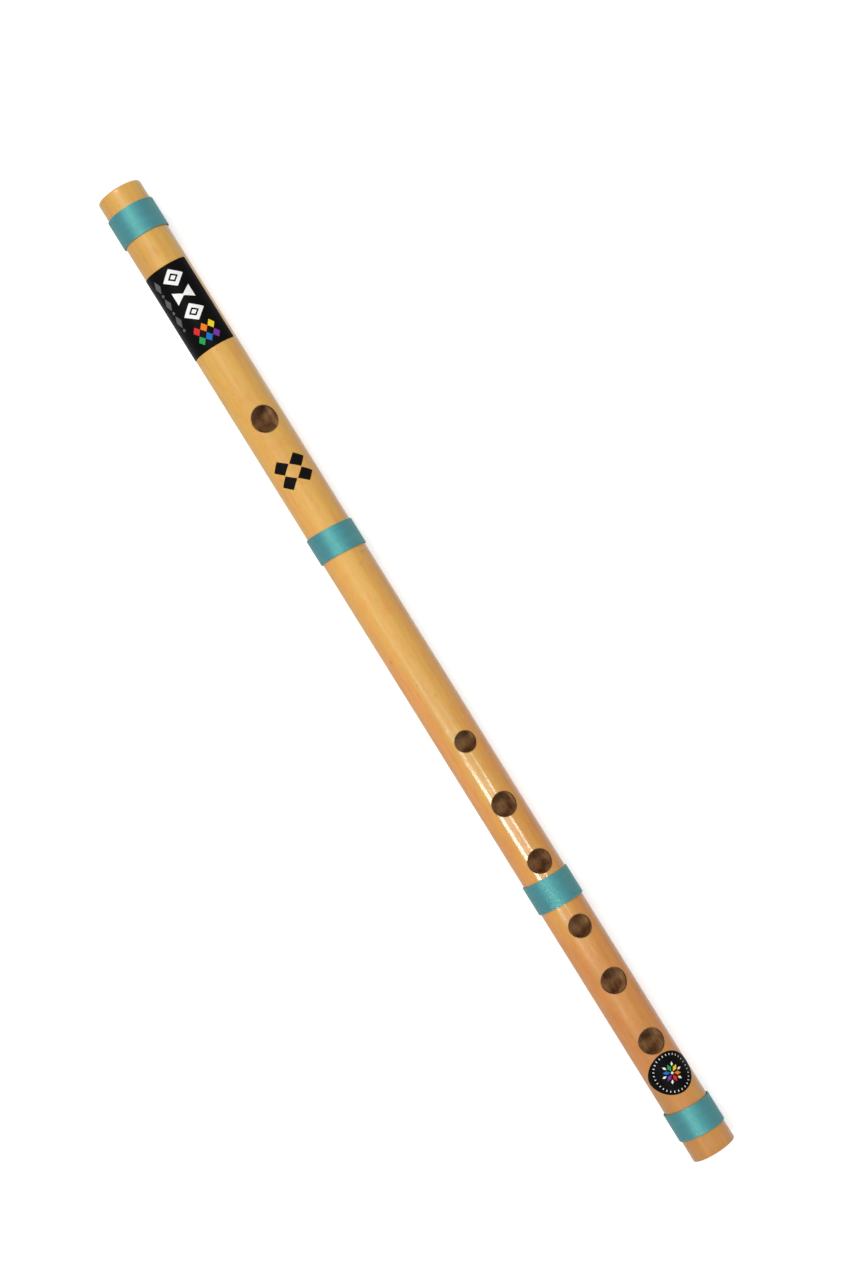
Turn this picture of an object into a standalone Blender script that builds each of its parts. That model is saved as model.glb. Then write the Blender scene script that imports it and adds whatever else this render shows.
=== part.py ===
"""Bansuri, a keyless side-blown flute made from one length of bamboo.

The bore runs along X, from the head end at -X to the open foot end at +X. The blowing hole and the
six finger holes face +Z. The origin is under the middle of the flute, on the surface that it lies on.
All sizes are in metres, and every place along the bamboo is given as a distance from the head end.
"""

import math

import bmesh
import bpy
from mathutils import Matrix, Vector

MM = 0.001

# The bamboo tapers from the head to a waist under the last finger hole, then flares to the foot
TUBE_LENGTH = 351 * MM
HEAD_RADIUS = 7.52 * MM
WAIST_RADIUS = 7.19 * MM
FOOT_RADIUS = 7.42 * MM
WAIST_AT = 323 * MM
WALL = 1.5 * MM
HEAD_ROUNDING = 0.9 * MM
FOOT_CHAMFER = 0.2 * MM
BORE_CHAMFER = 0.25 * MM

# The blowing hole is a little longer than wide, and the finger holes are round
BLOWING_HOLE_AT = 85.3 * MM
BLOWING_HOLE_LENGTH = 8.8 * MM
BLOWING_HOLE_WIDTH = 8.3 * MM
FINGER_HOLES = (
    (202.8 * MM, 6.8 * MM),
    (225.5 * MM, 7.9 * MM),
    (246.2 * MM, 7.7 * MM),
    (269.7 * MM, 7.3 * MM),
    (289.5 * MM, 8.2 * MM),
    (311.4 * MM, 8.2 * MM),
)

# Each hole is undercut: it widens by this much on its way in through the wall
UNDERCUT = 0.25 * MM
CUTTER_BOTTOM = 3.0 * MM
CUTTER_TOP = 9.0 * MM

# The cork stops the bore one bore diameter above the middle of the blowing hole
CORK_LENGTH = 15 * MM
CORK_CHAMFER = 0.6 * MM
CORK_CLEARANCE = 0.1 * MM

# Each binding is one thread, wound over a core that stands for its own first layers. It has a
# place, a width, and a lean: how far the hand that wound it let +Y run ahead of the middle
BINDINGS = {
    "binding_head": (11.8 * MM, 9.9 * MM, 0.0),
    "binding_middle": (128.9 * MM, 9.0 * MM, 0.055),
    "binding_hand": (256.4 * MM, 9.9 * MM, 0.04),
    "binding_foot": (339.2 * MM, 9.6 * MM, 0.06),
}
BINDING_HEIGHT = 0.52 * MM
BINDING_CLEARANCE = 0.06 * MM
THREAD = 0.46 * MM
LEAST_PITCH = 0.90 * MM

# Two plain film labels lie on the bamboo. The long one is turned towards -Y from the line of the
# holes, and the round one lies in that line
LABEL_FILM = 0.12 * MM
LABEL_CLEARANCE = 0.08 * MM
LONG_LABEL_AT = 43.3 * MM
LONG_LABEL_LENGTH = 29.4 * MM
LONG_LABEL_WIDTH = 19.2 * MM
LONG_LABEL_CORNER = 0.6 * MM
LONG_LABEL_TURN = math.radians(23)
ROUND_LABEL_AT = 322.9 * MM
ROUND_LABEL_DIAMETER = 13.5 * MM
ROUND_LABEL_TURN = 0.0

# How finely the round forms are faceted
TUBE_SIDES = 48
TAPER_STEPS = 8
FLARE_STEPS = 4
ROUNDING_STEPS = 4
HOLE_SIDES = 32
THREAD_STEPS = 24
CORNER_STEPS = 3
ROUND_LABEL_SIDES = 32
LABEL_STRIP = 1.0 * MM
WELD = 0.002 * MM


def along(distance):
    """X of a point that lies this far from the head end."""
    return distance - TUBE_LENGTH / 2


def outer_radius(distance):
    """Radius of the bamboo: a straight taper to the waist, then a curved flare to the foot."""
    if distance <= WAIST_AT:
        return HEAD_RADIUS + (WAIST_RADIUS - HEAD_RADIUS) * distance / WAIST_AT
    share = (distance - WAIST_AT) / (TUBE_LENGTH - WAIST_AT)
    return WAIST_RADIUS + (FOOT_RADIUS - WAIST_RADIUS) * share * share


def bore_radius(distance):
    """Radius of the bore, which tapers as far as the waist and runs on straight."""
    return outer_radius(min(distance, WAIST_AT)) - WALL


def axis_height():
    """Height of the bore's axis while the flute lies on the widest binding's lowest facets."""
    distance, width, _ = BINDINGS["binding_head"]
    widest = outer_radius(distance - width / 2) + BINDING_HEIGHT
    return widest * math.cos(math.pi / THREAD_STEPS)


def plain_material(name, colour, roughness):
    """A Principled BSDF of one colour, given as linear red, green and blue."""
    material = bpy.data.materials.new(name)
    material.use_nodes = True
    shader = material.node_tree.nodes["Principled BSDF"]
    shader.inputs["Base Color"].default_value = (*colour, 1.0)
    shader.inputs["Roughness"].default_value = roughness
    shader.inputs["Metallic"].default_value = 0.0
    return material


def add_object(name, bm, material, distance, flute):
    """Makes the bmesh an object on the bore's axis, at this distance from the head end."""
    bmesh.ops.recalc_face_normals(bm, faces=bm.faces)
    mesh = bpy.data.meshes.new(name)
    bm.to_mesh(mesh)
    bm.free()
    mesh.shade_smooth()
    mesh.set_sharp_from_angle(angle=math.radians(30))
    if material:
        mesh.materials.append(material)
    obj = bpy.data.objects.new(name, mesh)
    obj.location.x = along(distance)
    obj.parent = flute
    bpy.context.scene.collection.objects.link(obj)
    return obj


def tube_outline():
    """Closed outline of the bamboo's wall, as points of (distance, radius)."""
    outline = []
    for step in range(ROUNDING_STEPS + 1):
        turn = math.pi / 2 * step / ROUNDING_STEPS
        distance = HEAD_ROUNDING * (1 - math.cos(turn))
        outline.append((distance, outer_radius(distance) - HEAD_ROUNDING * (1 - math.sin(turn))))
    for step in range(1, TAPER_STEPS):
        distance = WAIST_AT * step / TAPER_STEPS
        outline.append((distance, outer_radius(distance)))
    flare = TUBE_LENGTH - FOOT_CHAMFER - WAIST_AT
    for step in range(FLARE_STEPS + 1):
        distance = WAIST_AT + flare * step / FLARE_STEPS
        outline.append((distance, outer_radius(distance)))
    outline.append((TUBE_LENGTH, FOOT_RADIUS - FOOT_CHAMFER))

    outline.append((TUBE_LENGTH, bore_radius(TUBE_LENGTH) + BORE_CHAMFER))
    outline.append((TUBE_LENGTH - BORE_CHAMFER, bore_radius(TUBE_LENGTH)))
    for step in range(TAPER_STEPS, 0, -1):
        distance = WAIST_AT * step / TAPER_STEPS
        outline.append((distance, bore_radius(distance)))
    outline.append((BORE_CHAMFER, bore_radius(BORE_CHAMFER)))
    outline.append((0, bore_radius(0) + BORE_CHAMFER))
    return outline


def hole_cutter(name, distance, length, width, flute):
    """An undercut plug that stands in the bore and comes out through the top of the wall."""
    slope = UNDERCUT / WALL
    mouth = outer_radius(distance)
    bm = bmesh.new()
    bmesh.ops.create_cone(
        bm,
        cap_ends=True,
        segments=HOLE_SIDES,
        radius1=width / 2 + slope * (mouth - CUTTER_BOTTOM),
        radius2=width / 2 - slope * (CUTTER_TOP - mouth),
        depth=CUTTER_TOP - CUTTER_BOTTOM,
        matrix=Matrix.Translation((0, 0, (CUTTER_TOP + CUTTER_BOTTOM) / 2)),
    )
    bmesh.ops.scale(bm, vec=(length / width, 1, 1), verts=bm.verts)
    cutter = add_object(name, bm, None, distance, flute)
    cutter.hide_render = True
    cutter.display_type = "WIRE"
    return cutter


def make_tube(bamboo, flute):
    """The length of bamboo, with its bore and with the seven holes cut through the top wall."""
    bm = bmesh.new()
    middle = TUBE_LENGTH / 2
    corners = [bm.verts.new((distance - middle, 0, radius)) for distance, radius in tube_outline()]
    edges = [bm.edges.new(pair) for pair in zip(corners, corners[1:] + corners[:1])]
    bmesh.ops.spin(
        bm,
        geom=corners + edges,
        cent=(0, 0, 0),
        axis=(1, 0, 0),
        angle=math.tau,
        steps=TUBE_SIDES,
        use_merge=True,
    )
    tube = add_object("bamboo_tube", bm, bamboo, middle, flute)

    holes = {"blowing_hole": (BLOWING_HOLE_AT, BLOWING_HOLE_LENGTH, BLOWING_HOLE_WIDTH)}
    for number, (distance, diameter) in enumerate(FINGER_HOLES, start=1):
        holes[f"finger_hole_{number}"] = (distance, diameter, diameter)
    for name, (distance, length, width) in holes.items():
        cut = tube.modifiers.new(name, "BOOLEAN")
        cut.operation = "DIFFERENCE"
        cut.solver = "EXACT"
        cut.object = hole_cutter(name + "_cutter", distance, length, width, flute)
    return tube


def make_cork(cork, flute):
    """The cork that stops the bore, with both of its rims eased."""
    face = BLOWING_HOLE_AT - 2 * bore_radius(BLOWING_HOLE_AT)
    radius = bore_radius(face) - CORK_CLEARANCE
    bm = bmesh.new()
    bmesh.ops.create_cone(
        bm,
        cap_ends=True,
        segments=TUBE_SIDES,
        radius1=radius,
        radius2=radius,
        depth=CORK_LENGTH,
        matrix=Matrix.Rotation(math.pi / 2, 4, "Y"),
    )
    rims = [edge for edge in bm.edges if abs(edge.verts[0].co.x - edge.verts[1].co.x) < WELD]
    bmesh.ops.bevel(
        bm, geom=rims, offset=CORK_CHAMFER, offset_type="OFFSET", segments=1, affect="EDGES"
    )
    return add_object("stopper_cork", bm, cork, face - CORK_LENGTH / 2, flute)


def least_gap(radius, pitch, loops):
    """Least clear gap from one loop of the thread to the rest of it, measured on its points."""
    points = []
    for step in range(loops * THREAD_STEPS + 1):
        turn = math.tau * step / THREAD_STEPS
        height = pitch * step / THREAD_STEPS
        points.append(Vector((height, radius * math.sin(turn), radius * math.cos(turn))))
    gaps = []
    for index, point in enumerate(points):
        for other in points[index + THREAD_STEPS // 2:]:
            gaps.append((other - point).length - THREAD)
    return min(gaps)


def make_binding(name, distance, width, lean, thread, flute):
    """One thread binding: a helical thread, sunk to half its depth in the core that it is wound on.

    The outline of one loop and of the core beside it is wound along X, trimmed square at both
    ends, closed by the bore of the core, and leaned. Half a step of turn puts a row of facets
    flat underneath, where the flute lies.
    """
    loops = int(width / LEAST_PITCH)
    pitch = width / loops
    bamboo = max(outer_radius(distance - width / 2), outer_radius(distance + width / 2))
    thread_top = bamboo + BINDING_HEIGHT
    rise = THREAD / 2 * math.sin(math.pi / 3)
    core = thread_top - rise
    inside = (bamboo + BINDING_CLEARANCE) / math.cos(math.pi / THREAD_STEPS)

    outline = (
        (0, core),
        (THREAD / 4, thread_top),
        (THREAD * 3 / 4, thread_top),
        (THREAD, core),
        (pitch, core),
    )
    bm = bmesh.new()
    half_step = Matrix.Rotation(math.pi / THREAD_STEPS, 3, "X")
    start = -width / 2 - pitch
    corners = [bm.verts.new(half_step @ Vector((start + x, 0, radius))) for x, radius in outline]
    edges = [bm.edges.new(pair) for pair in zip(corners, corners[1:])]
    bmesh.ops.spin(
        bm,
        geom=corners + edges,
        cent=(0, 0, 0),
        axis=(1, 0, 0),
        dvec=(pitch / THREAD_STEPS, 0, 0),
        angle=-math.tau * (loops + 2),
        steps=THREAD_STEPS * (loops + 2),
    )
    bmesh.ops.remove_doubles(bm, verts=bm.verts, dist=WELD)

    for side in (-1, 1):
        bmesh.ops.bisect_plane(
            bm,
            geom=bm.verts[:] + bm.edges[:] + bm.faces[:],
            dist=WELD / 10,
            plane_co=(side * width / 2, 0, 0),
            plane_no=(side, 0, 0),
            clear_outer=True,
        )
    inner_rims = []
    for side in (-1, 1):
        rim = [edge for edge in bm.edges if edge.is_boundary and edge.verts[0].co.x * side > 0]
        grown = bmesh.ops.extrude_edge_only(bm, edges=rim)["geom"]
        for vertex in (item for item in grown if isinstance(item, bmesh.types.BMVert)):
            vertex.co.yz *= inside / vertex.co.yz.length
        inner_rims += [item for item in grown if isinstance(item, bmesh.types.BMEdge)]
    inner_rims = [edge for edge in inner_rims if edge.is_boundary]
    bmesh.ops.bridge_loops(bm, edges=inner_rims)
    for vertex in bm.verts:
        vertex.co.x += lean * vertex.co.y

    print(f"{name}: {loops} loops, least gap {least_gap(core, pitch, loops) / MM:.2f} mm")
    return add_object(name, bm, thread, distance, flute)


def rounded_rectangle(length, width, corner):
    """Points round a rectangle with round corners, centred on the origin."""
    points = []
    for quarter, (x, y) in enumerate(((1, 1), (-1, 1), (-1, -1), (1, -1))):
        for step in range(CORNER_STEPS + 1):
            turn = math.pi / 2 * (quarter + step / CORNER_STEPS)
            reach_x = x * (length / 2 - corner) + corner * math.cos(turn)
            reach_y = y * (width / 2 - corner) + corner * math.sin(turn)
            points.append((reach_x, reach_y))
    return points


def unrolled_circle(diameter, bamboo):
    """Points of an oval that looks round from straight above once it is wrapped on the bamboo."""
    points = []
    for side in range(ROUND_LABEL_SIDES):
        turn = math.tau * (side + 0.5) / ROUND_LABEL_SIDES
        across = diameter / 2 * math.sin(turn)
        points.append((diameter / 2 * math.cos(turn), bamboo * math.asin(across / bamboo)))
    return points


def make_label(name, outline, distance, turn, film, flute):
    """A film cut to the outline, divided into strips and wrapped round the bamboo."""
    bm = bmesh.new()
    sheet = bm.faces.new([bm.verts.new((x, y, 0)) for x, y in outline])
    reach = max(y for x, y in outline)
    strips = round(2 * reach / LABEL_STRIP)
    for cut in range(1, strips):
        bmesh.ops.bisect_plane(
            bm,
            geom=bm.verts[:] + bm.edges[:] + bm.faces[:],
            dist=WELD,
            plane_co=(0, reach * (2 * cut / strips - 1), 0),
            plane_no=(0, 1, 0),
        )
    grown = bmesh.ops.extrude_face_region(bm, geom=bm.faces[:])["geom"]
    upper = [item for item in grown if isinstance(item, bmesh.types.BMVert)]
    bmesh.ops.translate(bm, vec=(0, 0, LABEL_FILM), verts=upper)

    length = max(x for x, y in outline)
    bamboo = max(outer_radius(distance - length), outer_radius(distance + length))
    base = bamboo + LABEL_CLEARANCE
    for vertex in bm.verts:
        angle = turn - vertex.co.y / base
        radius = base + vertex.co.z
        vertex.co.y = -radius * math.sin(angle)
        vertex.co.z = radius * math.cos(angle)
    return add_object(name, bm, film, distance, flute)


def main():
    """Builds the flute: bamboo, cork, four bindings and two labels."""
    for old in list(bpy.data.objects):
        bpy.data.objects.remove(old, do_unlink=True)

    flute = bpy.data.objects.new("flute", None)
    flute.location.z = axis_height()
    bpy.context.scene.collection.objects.link(flute)

    bamboo = plain_material("lacquered_bamboo", (0.72, 0.42, 0.13), 0.28)
    cork = plain_material("natural_cork", (0.50, 0.28, 0.12), 0.85)
    thread = plain_material("teal_thread", (0.09, 0.40, 0.38), 0.45)
    film = plain_material("black_film", (0.012, 0.012, 0.014), 0.35)

    make_tube(bamboo, flute)
    make_cork(cork, flute)
    for name, (distance, width, lean) in BINDINGS.items():
        make_binding(name, distance, width, lean, thread, flute)
    long_outline = rounded_rectangle(LONG_LABEL_LENGTH, LONG_LABEL_WIDTH, LONG_LABEL_CORNER)
    make_label("label_long", long_outline, LONG_LABEL_AT, LONG_LABEL_TURN, film, flute)
    round_outline = unrolled_circle(ROUND_LABEL_DIAMETER, outer_radius(ROUND_LABEL_AT))
    make_label("label_round", round_outline, ROUND_LABEL_AT, ROUND_LABEL_TURN, film, flute)


if __name__ == "__main__":
    main()
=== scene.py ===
"""The bansuri's looks: lacquered bamboo, wound thread bindings, a cork and two printed film labels.

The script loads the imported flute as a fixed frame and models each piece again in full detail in
place of its plain solid. It then sets up the camera, a pale floor and soft studio light. The bore
runs along X from the head end to the foot end, and the holes face +Z. All sizes are in metres.
"""

from __future__ import annotations

import logging
import math
from collections.abc import Callable, Iterator, Sequence
from contextlib import contextmanager
from dataclasses import dataclass
from enum import Enum

import bpy
from mathutils import Matrix, Vector, noise

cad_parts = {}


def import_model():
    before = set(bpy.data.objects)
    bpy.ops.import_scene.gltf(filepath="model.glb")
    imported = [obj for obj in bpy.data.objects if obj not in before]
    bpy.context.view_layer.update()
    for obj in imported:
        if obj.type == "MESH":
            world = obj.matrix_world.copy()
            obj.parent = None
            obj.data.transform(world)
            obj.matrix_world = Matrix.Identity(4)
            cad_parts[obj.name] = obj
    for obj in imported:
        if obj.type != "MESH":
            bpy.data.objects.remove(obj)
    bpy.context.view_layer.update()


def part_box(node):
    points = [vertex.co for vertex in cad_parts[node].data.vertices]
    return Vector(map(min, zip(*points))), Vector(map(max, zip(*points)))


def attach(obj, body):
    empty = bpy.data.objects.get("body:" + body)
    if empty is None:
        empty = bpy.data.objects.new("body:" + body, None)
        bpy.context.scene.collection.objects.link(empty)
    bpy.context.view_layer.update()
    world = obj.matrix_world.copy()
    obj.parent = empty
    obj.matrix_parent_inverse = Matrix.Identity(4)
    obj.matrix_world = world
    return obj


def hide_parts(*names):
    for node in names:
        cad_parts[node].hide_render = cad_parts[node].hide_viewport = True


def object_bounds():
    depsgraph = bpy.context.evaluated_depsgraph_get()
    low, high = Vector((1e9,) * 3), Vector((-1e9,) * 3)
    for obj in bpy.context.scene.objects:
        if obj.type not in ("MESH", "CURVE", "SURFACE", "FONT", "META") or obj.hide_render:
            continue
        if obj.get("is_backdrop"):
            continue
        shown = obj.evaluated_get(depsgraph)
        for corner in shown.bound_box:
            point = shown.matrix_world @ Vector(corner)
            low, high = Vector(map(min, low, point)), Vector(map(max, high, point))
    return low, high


MM = 0.001
BODY = "root"
LOG = logging.getLogger("bansuri")

Piece = bpy.types.Object
Material = bpy.types.Material
Node = bpy.types.Node
Socket = bpy.types.NodeSocket
Value = Socket | Node | float | tuple
Colour = tuple[int, int, int]
Ramp = tuple[tuple[float, Colour], ...]
Outline = list[tuple[float, float]]


class Slot(Enum):
    """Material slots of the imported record."""

    BAMBOO = "bamboo"
    CORK = "cork"
    THREAD = "thread"
    LABEL = "label"


class Ink(Enum):
    """Inks that the labels and the mark are printed in, as colours on a screen."""

    WHITE = (246, 246, 244)
    GREY = (96, 96, 98)
    RED = (222, 44, 52)
    ORANGE = (244, 128, 36)
    YELLOW = (248, 214, 48)
    GREEN = (42, 160, 84)
    BLUE = (34, 112, 196)
    VIOLET = (122, 58, 158)
    BLACK = (12, 11, 11)


class Motif(Enum):
    """Plain shapes of the prints: corner count, first turn in degrees, and size of the circle."""

    LOZENGE = (4, 0.0, 1.0)
    BLOCK = (4, 45.0, math.sqrt(2))
    TRIANGLE = (3, 0.0, 1.0)
    DOT = (40, 0.0, 1.0)


def screen(colour: Colour) -> tuple[float, float, float, float]:
    """Turns a colour as a screen shows it into the linear values that a socket takes.

    Args:
        colour: Red, green and blue from 0 to 255.

    Returns:
        Linear red, green and blue, and an alpha of 1.
    """
    linear = []
    for channel in colour:
        share = channel / 255
        linear.append(share / 12.92 if share <= 0.04045 else ((share + 0.055) / 1.055) ** 2.4)
    return (*linear, 1.0)


def quarter(steps: int) -> list[tuple[float, float]]:
    """Cosine and sine at the start and after each step of a quarter turn, for a rounded edge."""
    turns = [math.pi / 2 * step / steps for step in range(steps + 1)]
    return [(math.cos(turn), math.sin(turn)) for turn in turns]


def stand(at: Sequence[float], right: Vector, up: Vector, back: Vector) -> Matrix:
    """How a camera or lamp stands, from its place and the directions of its own axes."""
    return Matrix.Translation(at) @ Matrix((right, up, back)).transposed().to_4x4()


class Bench:
    """The hand tools that every piece is made with."""

    MERGE = MM / 500

    @staticmethod
    def take(obj: Piece) -> None:
        """Makes the object the only one that is selected, and the active one.

        Args:
            obj: The object.
        """
        if bpy.context.mode != "OBJECT":
            bpy.ops.object.mode_set(mode="OBJECT")
        bpy.ops.object.select_all(action="DESELECT")
        obj.select_set(True)
        bpy.context.view_layer.objects.active = obj

    @staticmethod
    def newest(name: str) -> Piece:
        """Names the primitive that was just added, and settles it at the origin.

        Args:
            name: Its name.

        Returns:
            The primitive.
        """
        obj = bpy.context.active_object
        obj.name = name
        obj.data.name = name
        Bench.take(obj)
        bpy.ops.object.transform_apply(location=True, rotation=True, scale=True)
        return obj

    @staticmethod
    @contextmanager
    def edit(obj: Piece) -> Iterator[None]:
        """Opens the object in edit mode with all of its corners selected.

        Args:
            obj: The object.
        """
        Bench.take(obj)
        bpy.ops.object.mode_set(mode="EDIT")
        bpy.ops.mesh.select_mode(type="VERT")
        bpy.ops.mesh.select_all(action="SELECT")
        yield
        bpy.ops.object.mode_set(mode="OBJECT")

    @staticmethod
    def turned(name: str, outline: Outline, height: float, sides: int) -> Piece:
        """Turns an outline about the flute's axis, as on a lathe.

        Args:
            name: Name of the new piece.
            outline: Corners of (x, radius). It is closed unless its ends lie on the axis.
            height: Height of the axis.
            sides: Number of steps in the full turn.

        Returns:
            The turned piece, closed, with its faces pointing out.
        """
        bpy.ops.mesh.primitive_plane_add(size=MM, location=(0, 0, 0))
        obj = Bench.newest(name)
        with Bench.edit(obj):
            bpy.ops.mesh.merge(type="CENTER")
            points = [Vector((x, 0, height + radius)) for x, radius in outline]
            bpy.ops.transform.translate(value=points[0])
            if outline[0][1] > 0:
                points.append(points[0])
            for near, far in zip(points, points[1:]):
                bpy.ops.mesh.extrude_vertices_move(TRANSFORM_OT_translate={"value": far - near})
            bpy.ops.mesh.select_all(action="SELECT")
            bpy.ops.mesh.remove_doubles(threshold=Bench.MERGE)
            bpy.ops.mesh.spin(
                steps=sides, angle=math.tau, center=(0, 0, height), axis=(1, 0, 0), use_auto_merge=True
            )
            bpy.ops.mesh.select_all(action="SELECT")
            bpy.ops.mesh.remove_doubles(threshold=Bench.MERGE)
            bpy.ops.mesh.normals_make_consistent(inside=False)
        return obj

    @staticmethod
    def reshape(obj: Piece, rule: Callable[[Vector], Vector]) -> None:
        """Moves each corner of the mesh.

        Args:
            obj: The object.
            rule: Gives each corner its new place.
        """
        for vertex in obj.data.vertices:
            vertex.co = rule(vertex.co)
        obj.data.update()

    @staticmethod
    def finish(obj: Piece, kind: str, **settings: object) -> None:
        """Adds a modifier and applies it.

        Args:
            obj: The object.
            kind: The modifier's type.
            **settings: The modifier's settings.
        """
        modifier = obj.modifiers.new(kind.lower(), kind)
        for name, value in settings.items():
            setattr(modifier, name, value)
        Bench.take(obj)
        bpy.ops.object.modifier_apply(modifier=modifier.name)

    @staticmethod
    def join(parts: Sequence[Piece], name: str) -> Piece:
        """Joins parts into the first of them.

        Args:
            parts: The parts.
            name: Name of the joined object.

        Returns:
            The joined object.
        """
        Bench.take(parts[0])
        for part in parts[1:]:
            part.select_set(True)
        if len(parts) > 1:
            bpy.ops.object.join()
        parts[0].name = name
        parts[0].data.name = name
        return parts[0]

    @staticmethod
    def slice(obj: Piece, half: float, step: float, way: Vector) -> None:
        """Cuts a flat sheet into strips, so that it can bend.

        Args:
            obj: The sheet, which lies in the plane z = 0 and is centred on the origin.
            half: Half of its size in the direction in which the cuts follow each other.
            step: Distance from one cut to the next.
            way: That direction.
        """
        with Bench.edit(obj):
            for number in range(-int(half / step), int(half / step) + 1):
                bpy.ops.mesh.select_all(action="SELECT")
                bpy.ops.mesh.bisect(plane_co=way * (number * step), plane_no=way)

    @staticmethod
    def smooth(obj: Piece, degrees: float) -> None:
        """Shades the piece smooth, with an edge wherever it turns by more than this angle."""
        Bench.take(obj)
        bpy.ops.object.shade_smooth_by_angle(angle=math.radians(degrees))

    @staticmethod
    def hand_over(obj: Piece, slot: Slot, node: str | None = None) -> None:
        """Lets a finished piece ride on the flute, and reports it.

        Args:
            obj: The piece.
            slot: The record's slot that it stands for, named in the log.
            node: The solid that it replaces, or None.
        """
        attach(obj, BODY)
        if node:
            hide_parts(node)
        LOG.info("%s: %d faces, slot %s", obj.name, len(obj.data.polygons), slot.value)


class Wiring:
    """Adds nodes to one node tree and joins them up."""

    def __init__(self, tree: bpy.types.NodeTree) -> None:
        """Takes the tree that the nodes go into."""
        self.tree = tree

    def feed(self, target: Socket, value: Value) -> None:
        """Joins a value to a socket.

        Args:
            target: The socket.
            value: Another socket, a node whose first output is meant, or a plain value.
        """
        if isinstance(value, Node):
            value = value.outputs[0]
        if isinstance(value, Socket):
            self.tree.links.new(value, target)
        else:
            target.default_value = value

    def add(self, kind: str, inputs: dict[str | int, Value] | None = None, **settings: object) -> Node:
        """Adds a node.

        Args:
            kind: The node's type, without the words that every shader node's type starts with.
            inputs: Values, sockets or nodes for its inputs, by name or number.
            **settings: The node's own settings.

        Returns:
            The new node.
        """
        node = self.tree.nodes.new("ShaderNode" + kind)
        for name, value in settings.items():
            setattr(node, name, value)
        for name, value in (inputs or {}).items():
            self.feed(node.inputs[name], value)
        return node

    def compute(self, kind: str, first: Value, second: Value = 0.0) -> Node:
        """A Math node of this kind on two values."""
        return self.add("Math", {0: first, 1: second}, operation=kind)

    def vector(self, kind: str, first: Value, second: Value = (0.0, 0.0, 0.0)) -> Node:
        """A Vector Math node of this kind on two vectors."""
        return self.add("VectorMath", {0: first, 1: second}, operation=kind)

    def length(self, vector: Value) -> Socket:
        """Length of a vector."""
        return self.vector("LENGTH", vector).outputs["Value"]

    def split(self, vector: Value) -> tuple[Socket, ...]:
        """The three parts of a vector."""
        return tuple(self.add("SeparateXYZ", {0: vector}).outputs)

    def between(self, share: Value, first: Value, second: Value) -> Node:
        """A value that lies this share of the way from the first to the second."""
        return self.add("Mix", {0: share, 2: first, 3: second}, data_type="FLOAT")

    def remap(
        self,
        value: Value,
        span: tuple[Value, Value],
        to: tuple[Value, Value] = (0.0, 1.0),
        way: str = "SMOOTHSTEP",
    ) -> Node:
        """Maps a value from one span to another, without passing its ends.

        Args:
            value: The value.
            span: The span that it comes from.
            to: The span that it goes to.
            way: SMOOTHSTEP or LINEAR.

        Returns:
            The node that puts out the new value.
        """
        limits = {"Value": value, "From Min": span[0], "From Max": span[1], "To Min": to[0], "To Max": to[1]}
        return self.add("MapRange", limits, interpolation_type=way)

    def blend(self, share: Value, first: Value, second: Value, way: str = "MIX") -> Socket:
        """Mixes two colours.

        Args:
            share: How much of the second colour there is, from 0 to 1.
            first: The first colour, as a screen shows it, or what puts it out.
            second: The second colour, given in the same way.
            way: How Blender mixes them, MIX or MULTIPLY.

        Returns:
            The socket that puts out the mixed colour.
        """
        first, second = (screen(value) if isinstance(value, tuple) else value for value in (first, second))
        node = self.add("Mix", {0: share, 6: first, 7: second}, data_type="RGBA", blend_type=way)
        return node.outputs[2]

    def ramp(self, share: Value, colours: Ramp) -> Node:
        """A colour ramp.

        Args:
            share: Where on the ramp each place lies, from 0 to 1.
            colours: The colours, each with its place on the ramp.

        Returns:
            The ramp's node.
        """
        node = self.add("ValToRGB", {"Fac": share})
        stops = node.color_ramp.elements
        while len(stops) < len(colours):
            stops.new(0.5)
        for stop, (place, colour) in zip(stops, colours):
            stop.position = place
            stop.color = screen(colour)
        return node


class Effect(Enum):
    """Names of the node groups that the materials share."""

    MILLIMETRES = "millimetres from the axis"
    GRAIN = "grain along the bamboo"
    MOTTLE = "mottled variation"
    FLECKS = "scattered flecks"
    SPOT = "soft spot at a place"


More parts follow.
